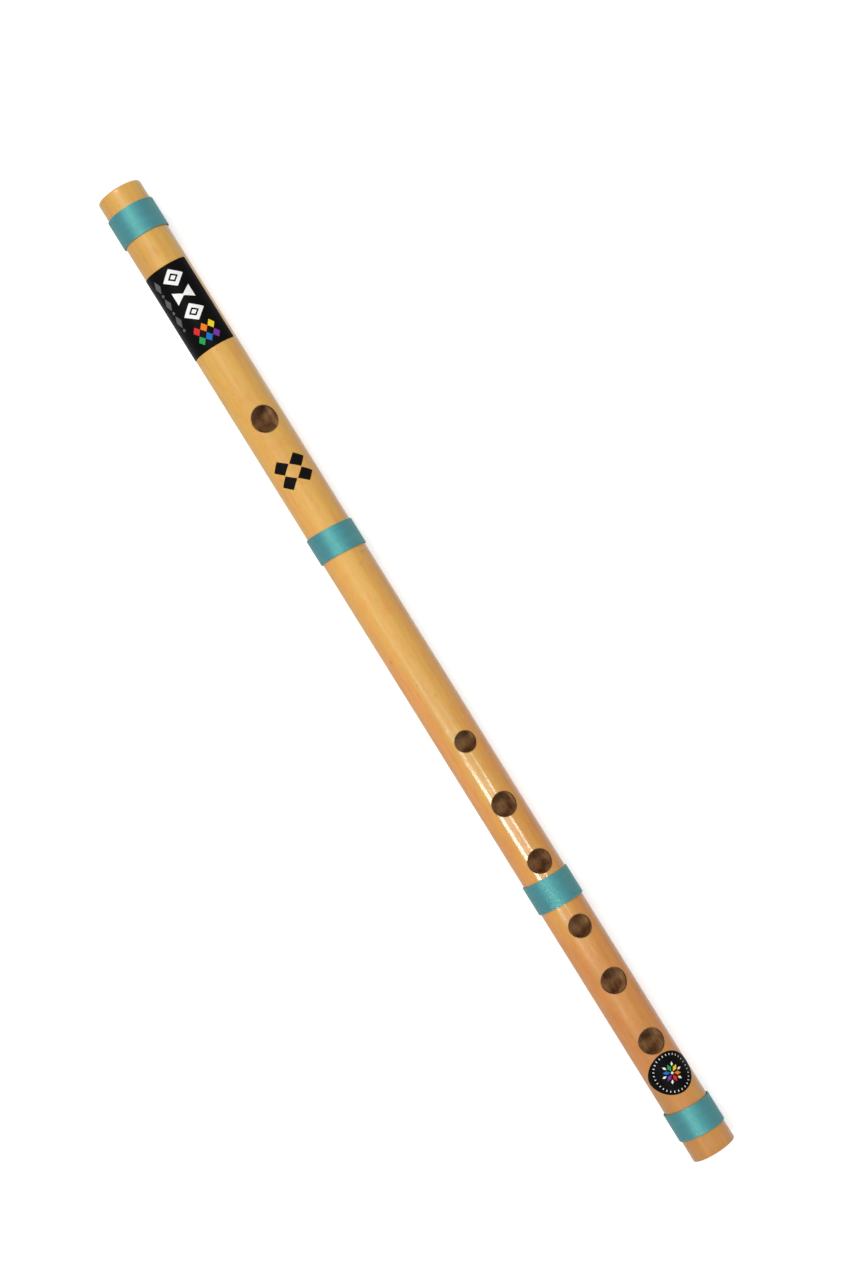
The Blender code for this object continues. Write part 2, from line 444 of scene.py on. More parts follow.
class Effects:
    """Builds each shared node group once and places it in materials."""

    def __init__(self, axis_height: float) -> None:
        """Builds all the groups.

        Args:
            axis_height: Height of the bore's axis, from which places on the flute are counted.
        """
        self.groups: dict[Effect, bpy.types.NodeTree] = {}
        self._millimetres(axis_height)
        self._grain()
        self._mottle()
        self._flecks()
        self._spot()

    def _open(
        self, effect: Effect, inputs: dict[str, float | None], outputs: Sequence[str], kind: str = "Float"
    ) -> tuple[Wiring, bpy.types.NodeOutputs, bpy.types.NodeInputs]:
        """Starts a group with its sockets.

        Args:
            effect: Which group this is.
            inputs: Each input's default, or None for a vector.
            outputs: Names of the outputs.
            kind: Kind of the outputs, Float or Vector.

        Returns:
            The group's wiring, the sockets of its inputs and those of its outputs.
        """
        tree = bpy.data.node_groups.new(effect.value, "ShaderNodeTree")
        for name, default in inputs.items():
            given = "NodeSocketVector" if default is None else "NodeSocketFloat"
            socket = tree.interface.new_socket(name=name, in_out="INPUT", socket_type=given)
            if default is not None:
                socket.default_value = default
        for name in outputs:
            tree.interface.new_socket(name=name, in_out="OUTPUT", socket_type="NodeSocket" + kind)
        self.groups[effect] = tree
        given = tree.nodes.new("NodeGroupInput").outputs
        return Wiring(tree), given, tree.nodes.new("NodeGroupOutput").inputs

    def _millimetres(self, axis_height: float) -> None:
        """The place on the flute in millimetres, counted from the middle of the bore's axis.

        Args:
            axis_height: Height of that axis.
        """
        wiring, _, out = self._open(Effect.MILLIMETRES, {}, ["Place"], "Vector")
        place = wiring.add("TexCoord").outputs["Object"]
        settings = {"Vector": place, "Location": (0, 0, -axis_height / MM), "Scale": (1 / MM,) * 3}
        wiring.feed(out["Place"], wiring.add("Mapping", settings))

    def _grain(self) -> None:
        """Broad streaks and fine hairs that run along the bamboo."""
        inputs = {"Place": None, "Along": 0.02, "Across": 1.0}
        wiring, given, out = self._open(Effect.GRAIN, inputs, ["Streaks", "Hairs"])
        stretch = wiring.add("CombineXYZ", {0: given["Along"], 1: given["Across"], 2: given["Across"]})
        drawn = wiring.vector("MULTIPLY", given["Place"], stretch)
        streaks = wiring.add("TexNoise", {"Vector": drawn, "Scale": 0.6, "Detail": 4.0, "Roughness": 0.62})
        hairs = wiring.add("TexNoise", {"Vector": drawn, "Scale": 4.0, "Detail": 3.0, "Roughness": 0.7})
        wiring.feed(out["Streaks"], wiring.remap(streaks, (0.3, 0.7)))
        wiring.feed(out["Hairs"], hairs)

    def _mottle(self) -> None:
        """Slow patches between a low and a high value."""
        inputs = {"Place": None, "Scale": 0.1, "Low": 0.0, "High": 1.0}
        wiring, given, out = self._open(Effect.MOTTLE, inputs, ["Value"])
        cloud = wiring.add("TexNoise", {"Vector": given["Place"], "Scale": given["Scale"], "Detail": 3.0})
        value = wiring.remap(cloud, (0.32, 0.68), (given["Low"], given["High"]), "LINEAR")
        wiring.feed(out["Value"], value)

    def _flecks(self) -> None:
        """Small flecks, each in a cell of its own, where only some cells have one."""
        inputs = {"Place": None, "Scale": 1.0, "Size": 0.2, "Share": 0.2, "Stretch": 1.0}
        wiring, given, out = self._open(Effect.FLECKS, inputs, ["Mask"])
        stretch = wiring.add("CombineXYZ", {0: given["Stretch"], 1: 1.0, 2: 1.0})
        drawn = wiring.vector("MULTIPLY", given["Place"], stretch)
        cells = wiring.add("TexVoronoi", {"Vector": drawn, "Scale": given["Scale"]})
        near = wiring.compute("DIVIDE", cells.outputs["Distance"], given["Size"])
        dots = wiring.remap(near, (0.6, 1.0), (1.0, 0.0))
        drawn_lot = wiring.add("SeparateColor", {0: cells.outputs["Color"]})
        kept = wiring.compute("LESS_THAN", drawn_lot, given["Share"])
        wiring.feed(out["Mask"], wiring.compute("MULTIPLY", dots, kept))

    def _spot(self) -> None:
        """A soft oval spot: 1 at its centre and out to where it starts to fade, 0 from its edge on."""
        inputs = {"Place": None, "Centre": None, "Reach": None, "Fade": 0.5}
        wiring, given, out = self._open(Effect.SPOT, inputs, ["Mask"])
        away = wiring.vector("SUBTRACT", given["Place"], given["Centre"])
        share = wiring.length(wiring.vector("DIVIDE", away, given["Reach"]))
        wiring.feed(out["Mask"], wiring.remap(share, (given["Fade"], 1.0), (1.0, 0.0)))

    def place(self, wiring: Wiring, effect: Effect, values: dict[str, Value]) -> Node:
        """Places a group in a material with its own values.

        Args:
            wiring: The material's wiring.
            effect: Which group to place.
            values: Values, sockets or nodes for the group's inputs.

        Returns:
            The group's node.
        """
        node = wiring.tree.nodes.new("ShaderNodeGroup")
        node.node_tree = self.groups[effect]
        for name, value in values.items():
            wiring.feed(node.inputs[name], value)
        return node


@dataclass(frozen=True)
class Hole:
    """A hole in the wall: its place from the head end, its size, and the painted shadow and painted pool of
    light in the bore under it.
    """

    distance: float
    length: float
    width: float
    # Strengths of the painted shadow in the bore on the hole's head side, and of the painted pool of light
    # on the bore's floor under it.
    painted_shadow: float = 0.65
    pale: float = 0.0


@dataclass(frozen=True)
class BambooShape:
    """Form of the bamboo, which every other piece follows.

    Places are given as a distance from the head end and a turn from +Z towards -Y.
    """

    axis_height: float
    length: float = 351.0 * MM
    head_radius: float = 7.52 * MM
    waist_radius: float = 7.19 * MM
    foot_radius: float = 7.42 * MM
    waist_at: float = 323.0 * MM
    wall: float = 1.5 * MM
    wave_height: float = 0.035 * MM
    wave_length: float = 17.0 * MM
    waves_round: float = 1.7
    slope_step: float = 0.4 * MM

    def x(self, distance: float) -> float:
        """X of a place that lies this far from the head end."""
        return distance - self.length / 2

    def radius(self, distance: float) -> float:
        """Radius of the bamboo: a straight taper to the waist, then a curved flare to the foot.

        Args:
            distance: Distance from the head end.

        Returns:
            The radius there.
        """
        if distance <= self.waist_at:
            share = distance / self.waist_at
            return self.head_radius + (self.waist_radius - self.head_radius) * share
        share = (distance - self.waist_at) / (self.length - self.waist_at)
        return self.waist_radius + (self.foot_radius - self.waist_radius) * share * share

    def bore(self, distance: float) -> float:
        """Radius of the bore, which tapers as far as the waist and runs on straight."""
        return self.radius(min(distance, self.waist_at)) - self.wall

    def skin(self, distance: float, turn: float) -> float:
        """Radius of the skin, with the small waves that scraping by hand leaves.

        Args:
            distance: Distance from the head end.
            turn: Turn from the top.

        Returns:
            The radius there.
        """
        around = Vector((0, math.sin(turn), math.cos(turn))) * self.waves_round
        along = Vector((distance / self.wave_length, 0, 0))
        return self.radius(distance) + self.wave_height * noise.noise(around + along)

    def point(self, distance: float, turn: float, radius: float) -> Vector:
        """The point at a distance, a turn and a radius."""
        y = -radius * math.sin(turn)
        return Vector((self.x(distance), y, self.axis_height + radius * math.cos(turn)))

    def where(self, point: Vector) -> tuple[float, float, float]:
        """Distance from the head end, turn and radius of a point."""
        y, z = point.y, point.z - self.axis_height
        return point.x + self.length / 2, math.atan2(-y, z), math.hypot(y, z)

    def normal(self, distance: float, turn: float) -> Vector:
        """Direction that the skin faces.

        Args:
            distance: Distance from the head end.
            turn: Turn from the top.

        Returns:
            The direction, with a length of 1.
        """
        step = self.slope_step
        swing = step / self.skin(distance, turn)
        slope_along = (self.skin(distance + step, turn) - self.skin(distance - step, turn)) / (2 * step)
        slope_round = (self.skin(distance, turn + swing) - self.skin(distance, turn - swing)) / (2 * step)
        out = Vector((0, -math.sin(turn), math.cos(turn)))
        onward = Vector((0, -math.cos(turn), -math.sin(turn)))
        return (out - Vector((slope_along, 0, 0)) - onward * slope_round).normalized()


@dataclass(frozen=True)
class Finish:
    """A finish: how rough it is, how it is coated, how deep its bumps are, and how it glints."""

    name: str
    roughness: float
    coat: float = 0.0
    coat_roughness: float = 0.1
    bump: float = 0.0
    specular: float = 0.5
    glint: Colour = (255, 255, 255)
    ior: float = 1.5

    def plain_values(self) -> dict[str, Value]:
        """Values that are set on the shader's own sockets.

        Returns:
            Each value, by the name of its socket.
        """
        return {
            "Roughness": self.roughness,
            "Coat Weight": self.coat,
            "Coat Roughness": self.coat_roughness,
            "Specular IOR Level": self.specular,
            "Specular Tint": screen(self.glint),
            "IOR": self.ior,
        }


class Paint:
    """A material in the making: its nodes, and the colour that has been laid on so far."""

    def __init__(self, finish: Finish, effects: Effects, colour: Value = (0, 0, 0)) -> None:
        """Starts the material.

        Args:
            finish: The finish that it gets.
            effects: The shared node groups.
            colour: The first colour, as a screen shows it, or what puts it out.
        """
        self.finish = finish
        self.effects = effects
        self.colour = colour
        self.material = bpy.data.materials.new(finish.name)
        self.material.use_nodes = True
        self.wiring = Wiring(self.material.node_tree)
        self.shader = self.material.node_tree.nodes["Principled BSDF"]
        for name, value in finish.plain_values().items():
            self.feed(name, value)
        self.place = effects.place(self.wiring, Effect.MILLIMETRES, {}).outputs["Place"]

    def feed(self, name: str, value: Value) -> None:
        """Joins a value to one of the shader's sockets, or sets it there."""
        self.wiring.feed(self.shader.inputs[name], value)

    def effect(self, effect: Effect, **values: Value) -> Node:
        """Places a shared effect, with a value for each of its inputs, by name."""
        named = {name.capitalize(): value for name, value in values.items()}
        return self.effects.place(self.wiring, effect, {"Place": self.place, **named})

    def layer(self, share: Value, colour: Value, strength: float | None = None, way: str = "MIX") -> None:
        """Lays a colour over what there is.

        Args:
            share: How much of it there is at each place, from 0 to 1.
            colour: The colour, as a screen shows it, or what puts it out.
            strength: What the share is multiplied by, or None.
            way: How Blender mixes them, MIX or MULTIPLY.
        """
        if strength is not None:
            share = self.wiring.compute("MULTIPLY", share, strength)
        self.colour = self.wiring.blend(share, self.colour, colour, way)

    def dry(self, height: Value) -> Material:
        """Joins the colour and the bumps to the shader.

        Args:
            height: Height of the surface, from 0 to 1.

        Returns:
            The finished material.
        """
        self.feed("Base Color", self.colour)
        self.feed("Normal", self.wiring.add("Bump", {"Height": height, "Distance": self.finish.bump}))
        return self.material


@dataclass(frozen=True)
class Blemish:
    """A mark on the skin: its place in millimetres and degrees, its reach and its strength."""

    distance: float
    turn: float
    reach: tuple[float, float, float]
    strength: float

    def centre(self, shape: BambooShape) -> Vector:
        """Its centre in millimetres, counted from the middle of the bore's axis.

        Args:
            shape: The bamboo's form.

        Returns:
            The centre.
        """
        distance = self.distance * MM
        centre = shape.point(distance, math.radians(self.turn), shape.radius(distance))
        centre.z -= shape.axis_height
        return centre / MM


@dataclass(frozen=True)
class LacqueredBamboo(Finish):
    """The bamboo's skin: tan at the head, orange towards the foot, under clear lacquer."""

    name: str = "lacquered_bamboo"
    roughness: float = 0.4
    coat: float = 0.8
    coat_roughness: float = 0.11
    specular: float = 0.4
    bump: float = 0.016 * MM
    # The ramps round the tube are partly the bamboo's own tone and partly painted light and shade, each
    # fitted to how the light falls on the top and on either side.
    right_side_tone_and_painted_light: Ramp = (
        (0.0, (221, 169, 64)),
        (0.45, (222, 161, 62)),
        (0.60, (226, 154, 58)),
        (0.68, (218, 146, 46)),
        (0.86, (216, 136, 48)),
        (1.0, (216, 150, 62)),
    )
    top: Ramp = (
        (0.0, (218, 168, 70)),
        (0.44, (226, 173, 76)),
        (0.54, (219, 165, 72)),
        (0.62, (215, 164, 72)),
        (0.68, (214, 160, 68)),
        (0.78, (214, 145, 58)),
        (0.88, (196, 127, 45)),
        (1.0, (202, 137, 52)),
    )
    left_side_tone_and_painted_light: Ramp = (
        (0.0, (206, 152, 56)),
        (0.20, (218, 166, 64)),
        (0.40, (224, 162, 68)),
        (0.56, (227, 156, 70)),
        (0.70, (221, 149, 58)),
        (0.86, (208, 132, 53)),
        (1.0, (188, 128, 52)),
    )
    # Painted shade for the lower flanks, which tones them down against the lacquer's pale reflection there.
    flank_painted_shade: Colour = (244, 247, 230)
    orange: Colour = (252, 228, 198)
    olive: Colour = (242, 250, 230)
    grain: Colour = (196, 122, 66)
    scorch: Colour = (84, 50, 24)
    fleck: Colour = (142, 96, 48)
    ring: float = 0.5
    blemishes: tuple[Blemish, ...] = (
        Blemish(23.0, 12.0, (2.6, 0.8, 2.0), 0.30),
        Blemish(136.0, -36.0, (0.7, 1.7, 3.0), 0.34),
        Blemish(139.0, -12.0, (0.8, 1.6, 3.0), 0.12),
        Blemish(170.0, 58.0, (1.0, 0.7, 2.0), 0.35),
        Blemish(186.0, 4.0, (0.9, 0.5, 2.0), 0.30),
        Blemish(296.0, -48.0, (3.4, 1.1, 3.0), 0.25),
    )

    def make(self, effects: Effects, shape: BambooShape, holes: Sequence[Hole]) -> Material:
        """Makes the material.

        Args:
            effects: The shared node groups.
            shape: The bamboo's form.
            holes: The holes, whose rims are scorched.

        Returns:
            The finished material.
        """
        paint = Paint(self, effects)
        wiring = paint.wiring
        x, y, z = wiring.split(paint.place)
        half = shape.length / MM / 2
        along = wiring.remap(x, (-half, half), way="LINEAR")
        drift = paint.effect(Effect.MOTTLE, scale=0.055, low=-0.06, high=0.06)
        shifted = wiring.compute("ADD", along, drift)
        # Painted light and shade: the top colour, with the left and right colours laid over the sides,
        # partly the bamboo's own tone round the tube.
        paint.colour = wiring.ramp(shifted, self.top)
        paint.layer(wiring.remap(y, (-6.0, -3.4), (1.0, 0.0)), wiring.ramp(shifted, self.left_side_tone_and_painted_light))
        paint.layer(wiring.remap(y, (-0.5, 4.5)), wiring.ramp(shifted, self.right_side_tone_and_painted_light))
        # Painted shade: the lower flanks are multiplied by a tint that tones down their pale reflection.
        low = wiring.remap(z, (0.5, 4.8), (1.0, 0.0))
        paint.layer(low, self.flank_painted_shade, way="MULTIPLY")

        blotch = paint.effect(Effect.GRAIN, along=0.3, across=0.7).outputs["Streaks"]
        for span, tint in (((0.55, 1.0), self.orange), ((0.45, 0.0), self.olive)):
            paint.layer(wiring.remap(blotch, span, (0.0, 0.45)), tint, way="MULTIPLY")
        streaks, hairs = paint.effect(Effect.GRAIN, along=0.03, across=0.9).outputs
        deep = wiring.blend(0.5, paint.colour, self.grain, "MULTIPLY")
        paint.layer(wiring.remap(streaks, (0.35, 1.0), (0.0, 0.34)), deep)
        paint.layer(wiring.remap(hairs, (0.35, 0.7), (0.18, 0.0)), deep)

        specks = paint.effect(Effect.FLECKS, scale=0.55, size=0.12, share=0.26, stretch=0.5)
        paint.layer(specks, self.fleck, 0.42)
        for mark in self.blemishes:
            spot = paint.effect(Effect.SPOT, centre=mark.centre(shape), reach=mark.reach, fade=0.1)
            paint.layer(spot, self.fleck, mark.strength)
        for hole in holes:
            centre = (shape.x(hole.distance) / MM, 0.0, shape.radius(hole.distance) / MM)
            reach = (hole.length / MM / 2 + self.ring, hole.width / MM / 2 + self.ring, 20.0)
            rim = paint.effect(Effect.SPOT, centre=centre, reach=reach, fade=0.84)
            paint.layer(rim, self.scorch, 0.75)

        dull = {"low": self.roughness - 0.07, "high": self.roughness + 0.1}
        paint.feed("Roughness", paint.effect(Effect.MOTTLE, scale=0.35, **dull))
        worn = paint.effect(Effect.GRAIN, along=0.35, across=0.8).outputs["Hairs"]
        film = wiring.remap(worn, (0.38, 0.6), (self.coat * 0.5, min(self.coat * 1.25, 1.0)))
        thinner = wiring.remap(low, (0.0, 1.0), (1.0, 0.4))
        paint.feed("Coat Weight", wiring.compute("MULTIPLY", film, thinner))
        return paint.dry(hairs)


@dataclass(frozen=True)
class CutBamboo(Finish):
    """Sawn ends of the bamboo: pale end grain with dark bundles, closest together at the skin."""

    name: str = "cut_bamboo"
    roughness: float = 0.72
    bump: float = 0.03 * MM
    pale: Colour = (214, 172, 112)
    bundle: Colour = (134, 88, 46)
    stain: Colour = (176, 124, 70)

    def make(self, effects: Effects) -> Material:
        """Makes the material.

        Args:
            effects: The shared node groups.

        Returns:
            The finished material.
        """
        paint = Paint(self, effects, self.pale)
        wiring = paint.wiring
        coarse = paint.effect(Effect.FLECKS, scale=2.2, size=0.34, share=0.9, stretch=0.1)
        fine = paint.effect(Effect.FLECKS, scale=4.6, size=0.4, share=0.7, stretch=0.1)
        _, y, z = wiring.split(paint.place)
        away = wiring.length(wiring.add("CombineXYZ", {1: y, 2: z}))
        dots = wiring.between(wiring.remap(away, (6.1, 6.9)), coarse, fine)
        paint.layer(dots, self.bundle, 0.7)
        paint.layer(paint.effect(Effect.MOTTLE, scale=0.7, low=0.0, high=0.3), self.stain)
        return paint.dry(dots)


@dataclass(frozen=True)
class RawBore(Finish):
    """Inside of the bamboo: brown, fibrous and dull."""

    name: str = "raw_bore"
    roughness: float = 0.88
    bump: float = 0.12 * MM
    dark: Colour = (144, 88, 50)
    # Pale wood of the bore, also laid on as a painted pool of light on the floor under some holes.
    light: Colour = (255, 208, 144)
    # Painted shadow: a dark patch in the bore under each hole on its head side, set back and drifting
    # towards the head end.
    painted_shadow: Colour = (56, 34, 20)
    painted_shadow_back: float = 3.0
    painted_shadow_drift: float = 0.017

    def make(self, effects: Effects, shape: BambooShape, holes: Sequence[Hole]) -> Material:
        """Makes the material.

        Args:
            effects: The shared node groups.
            shape: The bamboo's form.
            holes: The holes, under which a painted shadow lies in the bore on the side towards the head end,
                and under some a painted pool of light.

        Returns:
            The finished material.
        """
        paint = Paint(self, effects, self.dark)
        streaks, hairs = paint.effect(Effect.GRAIN, along=0.16, across=1.1).outputs
        patches = paint.effect(Effect.MOTTLE, scale=0.42, low=0.0, high=1.0)
        paint.layer(paint.wiring.between(0.55, streaks, patches), self.light)
        for hole in holes:
            x = shape.x(hole.distance) / MM
            # Painted light: a pale pool on the bore's floor under some holes.
            if hole.pale:
                centre = (x + 1.0, 1.0, -5.0)
                patch = paint.effect(Effect.SPOT, centre=centre, reach=(5.0, 5.0, 6.0), fade=0.3)
                paint.layer(patch, self.light, hole.pale)
            # Painted shadow under each hole, on its head side.
            centre = (x * (1 + self.painted_shadow_drift) - self.painted_shadow_back, 2.0, -4.5)
            patch = paint.effect(Effect.SPOT, centre=centre, reach=(2.8, 4.8, 4.0), fade=0.2)
            paint.layer(patch, self.painted_shadow, hole.painted_shadow)
        return paint.dry(hairs)


@dataclass(frozen=True)
class BurntWall(Finish):
    """Walls of the holes, which a hot rod has burnt dark brown."""

    name: str = "burnt_wall"
    roughness: float = 0.7
    bump: float = 0.06 * MM
    char: Colour = (50, 30, 17)
    brown: Colour = (150, 96, 54)

    def make(self, effects: Effects) -> Material:
        """Makes the material.

        Args:
            effects: The shared node groups.

        Returns:
            The finished material.
        """
        paint = Paint(self, effects, self.char)
        paint.layer(paint.effect(Effect.MOTTLE, scale=0.9, low=0.0, high=0.9), self.brown)
        hairs = paint.effect(Effect.GRAIN, along=0.8, across=1.5).outputs["Hairs"]
        paint.layer(paint.wiring.remap(hairs, (0.4, 0.62), (0.0, 0.6)), self.char)
        return paint.dry(hairs)


@dataclass(frozen=True)
class NaturalCork(Finish):
    """Cork: warm brown with dark pores."""

    name: str = "natural_cork"
    roughness: float = 0.9
    bump: float = 0.15 * MM
    body: Colour = (196, 152, 104)
    shade: Colour = (166, 118, 74)
    pore: Colour = (104, 68, 40)

    def make(self, effects: Effects) -> Material:
        """Makes the material.

        Args:
            effects: The shared node groups.

        Returns:
            The finished material.
        """
        paint = Paint(self, effects, self.body)
        cloud = paint.effect(Effect.MOTTLE, scale=0.8, low=0.0, high=0.6)
        pores = paint.effect(Effect.FLECKS, scale=0.9, size=0.3, share=0.4, stretch=0.5)
        paint.layer(cloud, self.shade)
        paint.layer(pores, self.pore, 0.85)
        return paint.dry(paint.wiring.compute("SUBTRACT", cloud, pores))


@dataclass(frozen=True)
class SatinThread(Finish):
    """Teal satin thread, twisted from fine plies."""

    name: str = "satin_thread"
    roughness: float = 0.37
    bump: float = 0.02 * MM
    specular: float = 1.0
    glint: Colour = (168, 255, 225)
    ior: float = 2.0
    teal: Colour = (30, 118, 140)
    # Deeper teal: the thread's own darker streaks, also laid on as painted shade on the sides and in the
    # grooves between the plies.
    deep: Colour = (7, 72, 108)
    plies: float = 2.0
    plies_per_mm: float = 1.6
    # Offset of the lit line along the top, from which the painted shade on the sides grows.
    lit_line: float = 1.5

    def make(self, effects: Effects) -> Material:
        """Makes the material, whose twist follows the thread's own UV map.

        Args:
            effects: The shared node groups.

        Returns:
            The finished material.
        """
        paint = Paint(self, effects, self.teal)
        wiring = paint.wiring
        along, around, _ = wiring.split(wiring.add("UVMap", uv_map="thread"))
        turns = wiring.compute("MULTIPLY", along, self.plies_per_mm)
        turns = wiring.compute("ADD", turns, wiring.compute("MULTIPLY", around, self.plies))
        wave = wiring.compute("SINE", wiring.compute("MULTIPLY", turns, math.tau))
        twist = wiring.remap(wave, (-1.0, 0.6))

        cloud = paint.effect(Effect.MOTTLE, scale=0.35, low=0.0, high=0.45)
        streaks, hairs = paint.effect(Effect.GRAIN, along=2.6, across=0.12).outputs
        share = wiring.compute("MULTIPLY", wiring.between(0.5, cloud, streaks), 0.9)
        # Painted shade: the deep colour grows away from the lit line along the top, added to the thread's
        # own random darker streaks.
        _, y, _ = wiring.split(paint.place)
        off_line = wiring.compute("ABSOLUTE", wiring.compute("ADD", y, self.lit_line))
        side = wiring.remap(off_line, (1.4, 4.6), (0.0, 0.6))
        paint.layer(wiring.compute("ADD", share, side), self.deep)
        # Painted shade in the grooves between the plies, where the twist runs low.
        paint.layer(wiring.remap(twist, (0.0, 0.5), (0.3, 0.0)), self.deep)
        gloss = wiring.remap(hairs, (0.35, 0.65), (self.roughness - 0.08, self.roughness + 0.12))
        paint.feed("Roughness", gloss)
        return paint.dry(twist)


@dataclass(frozen=True)
class PrintedFilm(Finish):
    """Black film, or an ink that is printed on film or bamboo."""

    name: str = "black_film"
    roughness: float = 0.42
    bump: float = 0.004 * MM
    specular: float = 0.05
    colour: Colour = (4, 4, 4)
    dust: Colour = (150, 146, 140)

    def make(self, effects: Effects) -> Material:
        """Makes the material: its colour, with fine dust and slightly uneven gloss.

        Args:
            effects: The shared node groups.

        Returns:
            The finished material.
        """
        paint = Paint(self, effects, self.colour)
        cloud = paint.effect(Effect.MOTTLE, scale=0.5, low=0.0, high=0.3)
        paint.layer(cloud, tuple(round(channel * 0.88 + 6) for channel in self.colour))
        dust = paint.effect(Effect.FLECKS, scale=1.6, size=0.07, share=0.1, stretch=1.0)
        paint.layer(dust, self.dust, 0.1)
        gloss = {"low": self.roughness - 0.05, "high": self.roughness + 0.08}
        paint.feed("Roughness", paint.effect(Effect.MOTTLE, scale=0.8, **gloss))
        return paint.dry(cloud)


class InkShelf:
    """Keeps one material for each ink, made when it is first asked for."""

    def __init__(self, effects: Effects) -> None:
        """Takes the shared node groups."""
        self.effects = effects
        self.made: dict[Ink, Material] = {}

    def get(self, ink: Ink) -> Material:
        """Returns the ink's material.

        Args:
            ink: The ink.

        Returns:
            Its material.
        """
        if ink not in self.made:
            finish = PrintedFilm(name=f"{ink.name.lower()}_ink", roughness=0.5, colour=ink.value)
            self.made[ink] = finish.make(self.effects)
        return self.made[ink]


@dataclass(frozen=True)
class HolePlug:
    """The shape that a hole takes away: an eased rim, a wall that widens inwards, and fibres."""

    ease: float = 0.24 * MM
    undercut: float = 0.04 * MM
    rise: float = 0.3 * MM
    fibre: float = 0.08 * MM
    fibres_round: float = 5.0
    fibres_down: float = 0.7
    fibres_apart: float = 900.0
    ease_turns: tuple[float, ...] = (30.0, 45.0, 60.0, 75.0, 90.0)
    wall_depths: tuple[float, ...] = (0.6 * MM, 0.95 * MM, 1.3 * MM, 1.7 * MM)
    clear_top: float = 9.0 * MM
    clear_bottom: float = 3.0 * MM
    sides: int = 96

    def rings(self, shape: BambooShape) -> list[tuple[float, float]]:
        """Form of the plug's side.

        Args:
            shape: The bamboo's form.

        Returns:
            Outward offset and depth under the skin of each ring, from above the skin inwards.
        """
        ease = self.ease
        turns = [math.radians(turn) for turn in self.ease_turns]
        rings = [(ease * (1 - math.sin(turn)), ease * (1 - math.cos(turn))) for turn in turns]
        run = (self.rise + rings[0][1]) / math.tan(turns[0])
        rings.insert(0, (rings[0][0] + run, -self.rise))
        for depth in self.wall_depths:
            rings.append((self.undercut * (depth - ease) / (shape.wall - ease), depth))
        return rings

    def make(self, name: str, hole: Hole, shape: BambooShape, skin: Material, burnt: Material) -> Piece:
        """Models the plug as a stack of rings, and sets each ring to its place.

        Args:
            name: Name of the plug.
            hole: The hole that it cuts.
            shape: The bamboo's form.
            skin: Material of the eased rim.
            burnt: Material of the wall.

        Returns:
            The plug, closed, with its faces pointing out.
        """
        rings = self.rings(shape)
        bpy.ops.mesh.primitive_circle_add(vertices=self.sides, radius=1.0, fill_type="NGON")
        plug = Bench.newest(name)
        with Bench.edit(plug):
            for _ in range(len(rings) + 1):
                bpy.ops.mesh.extrude_region_move(TRANSFORM_OT_translate={"value": (0, 0, -1)})
            bpy.ops.mesh.select_all(action="SELECT")
            bpy.ops.mesh.normals_make_consistent(inside=False)
        plug.data.materials.append(skin)
        plug.data.materials.append(burnt)
        for face in plug.data.polygons:
            face.material_index = 1 if -face.center.z > len(self.ease_turns) - 0.6 else 0

        radius = shape.radius(hole.distance)
        first_wall = len(rings) - len(self.wall_depths)

        def set_ring(corner: Vector) -> Vector:
            """Puts a corner of the stack of rings on the plug's real form.

            Args:
                corner: The corner, which lies on a ring 1 m across at a whole number of metres down.

            Returns:
                Its place.
            """
            level = round(-corner.z)
            number = min(max(level - 1, 0), len(rings) - 1)
            turn = math.atan2(corner.y, corner.x)
            outward, depth = rings[number]
            if number >= first_wall:
                sweep = self.fibres_round
                down = number * self.fibres_down + hole.distance * self.fibres_apart
                place = Vector((math.cos(turn) * sweep, math.sin(turn) * sweep, down))
                outward += self.fibre * noise.noise(place)
            x = (hole.length / 2 + outward) * math.cos(turn)
            y = (hole.width / 2 + outward) * math.sin(turn)
            z = math.sqrt(radius * radius - y * y) - depth
            if level == 0:
                z = self.clear_top
            if level == len(rings) + 1:
                z = self.clear_bottom
            return Vector((shape.x(hole.distance) + x, y, shape.axis_height + z))

        Bench.reshape(plug, set_ring)
        return plug


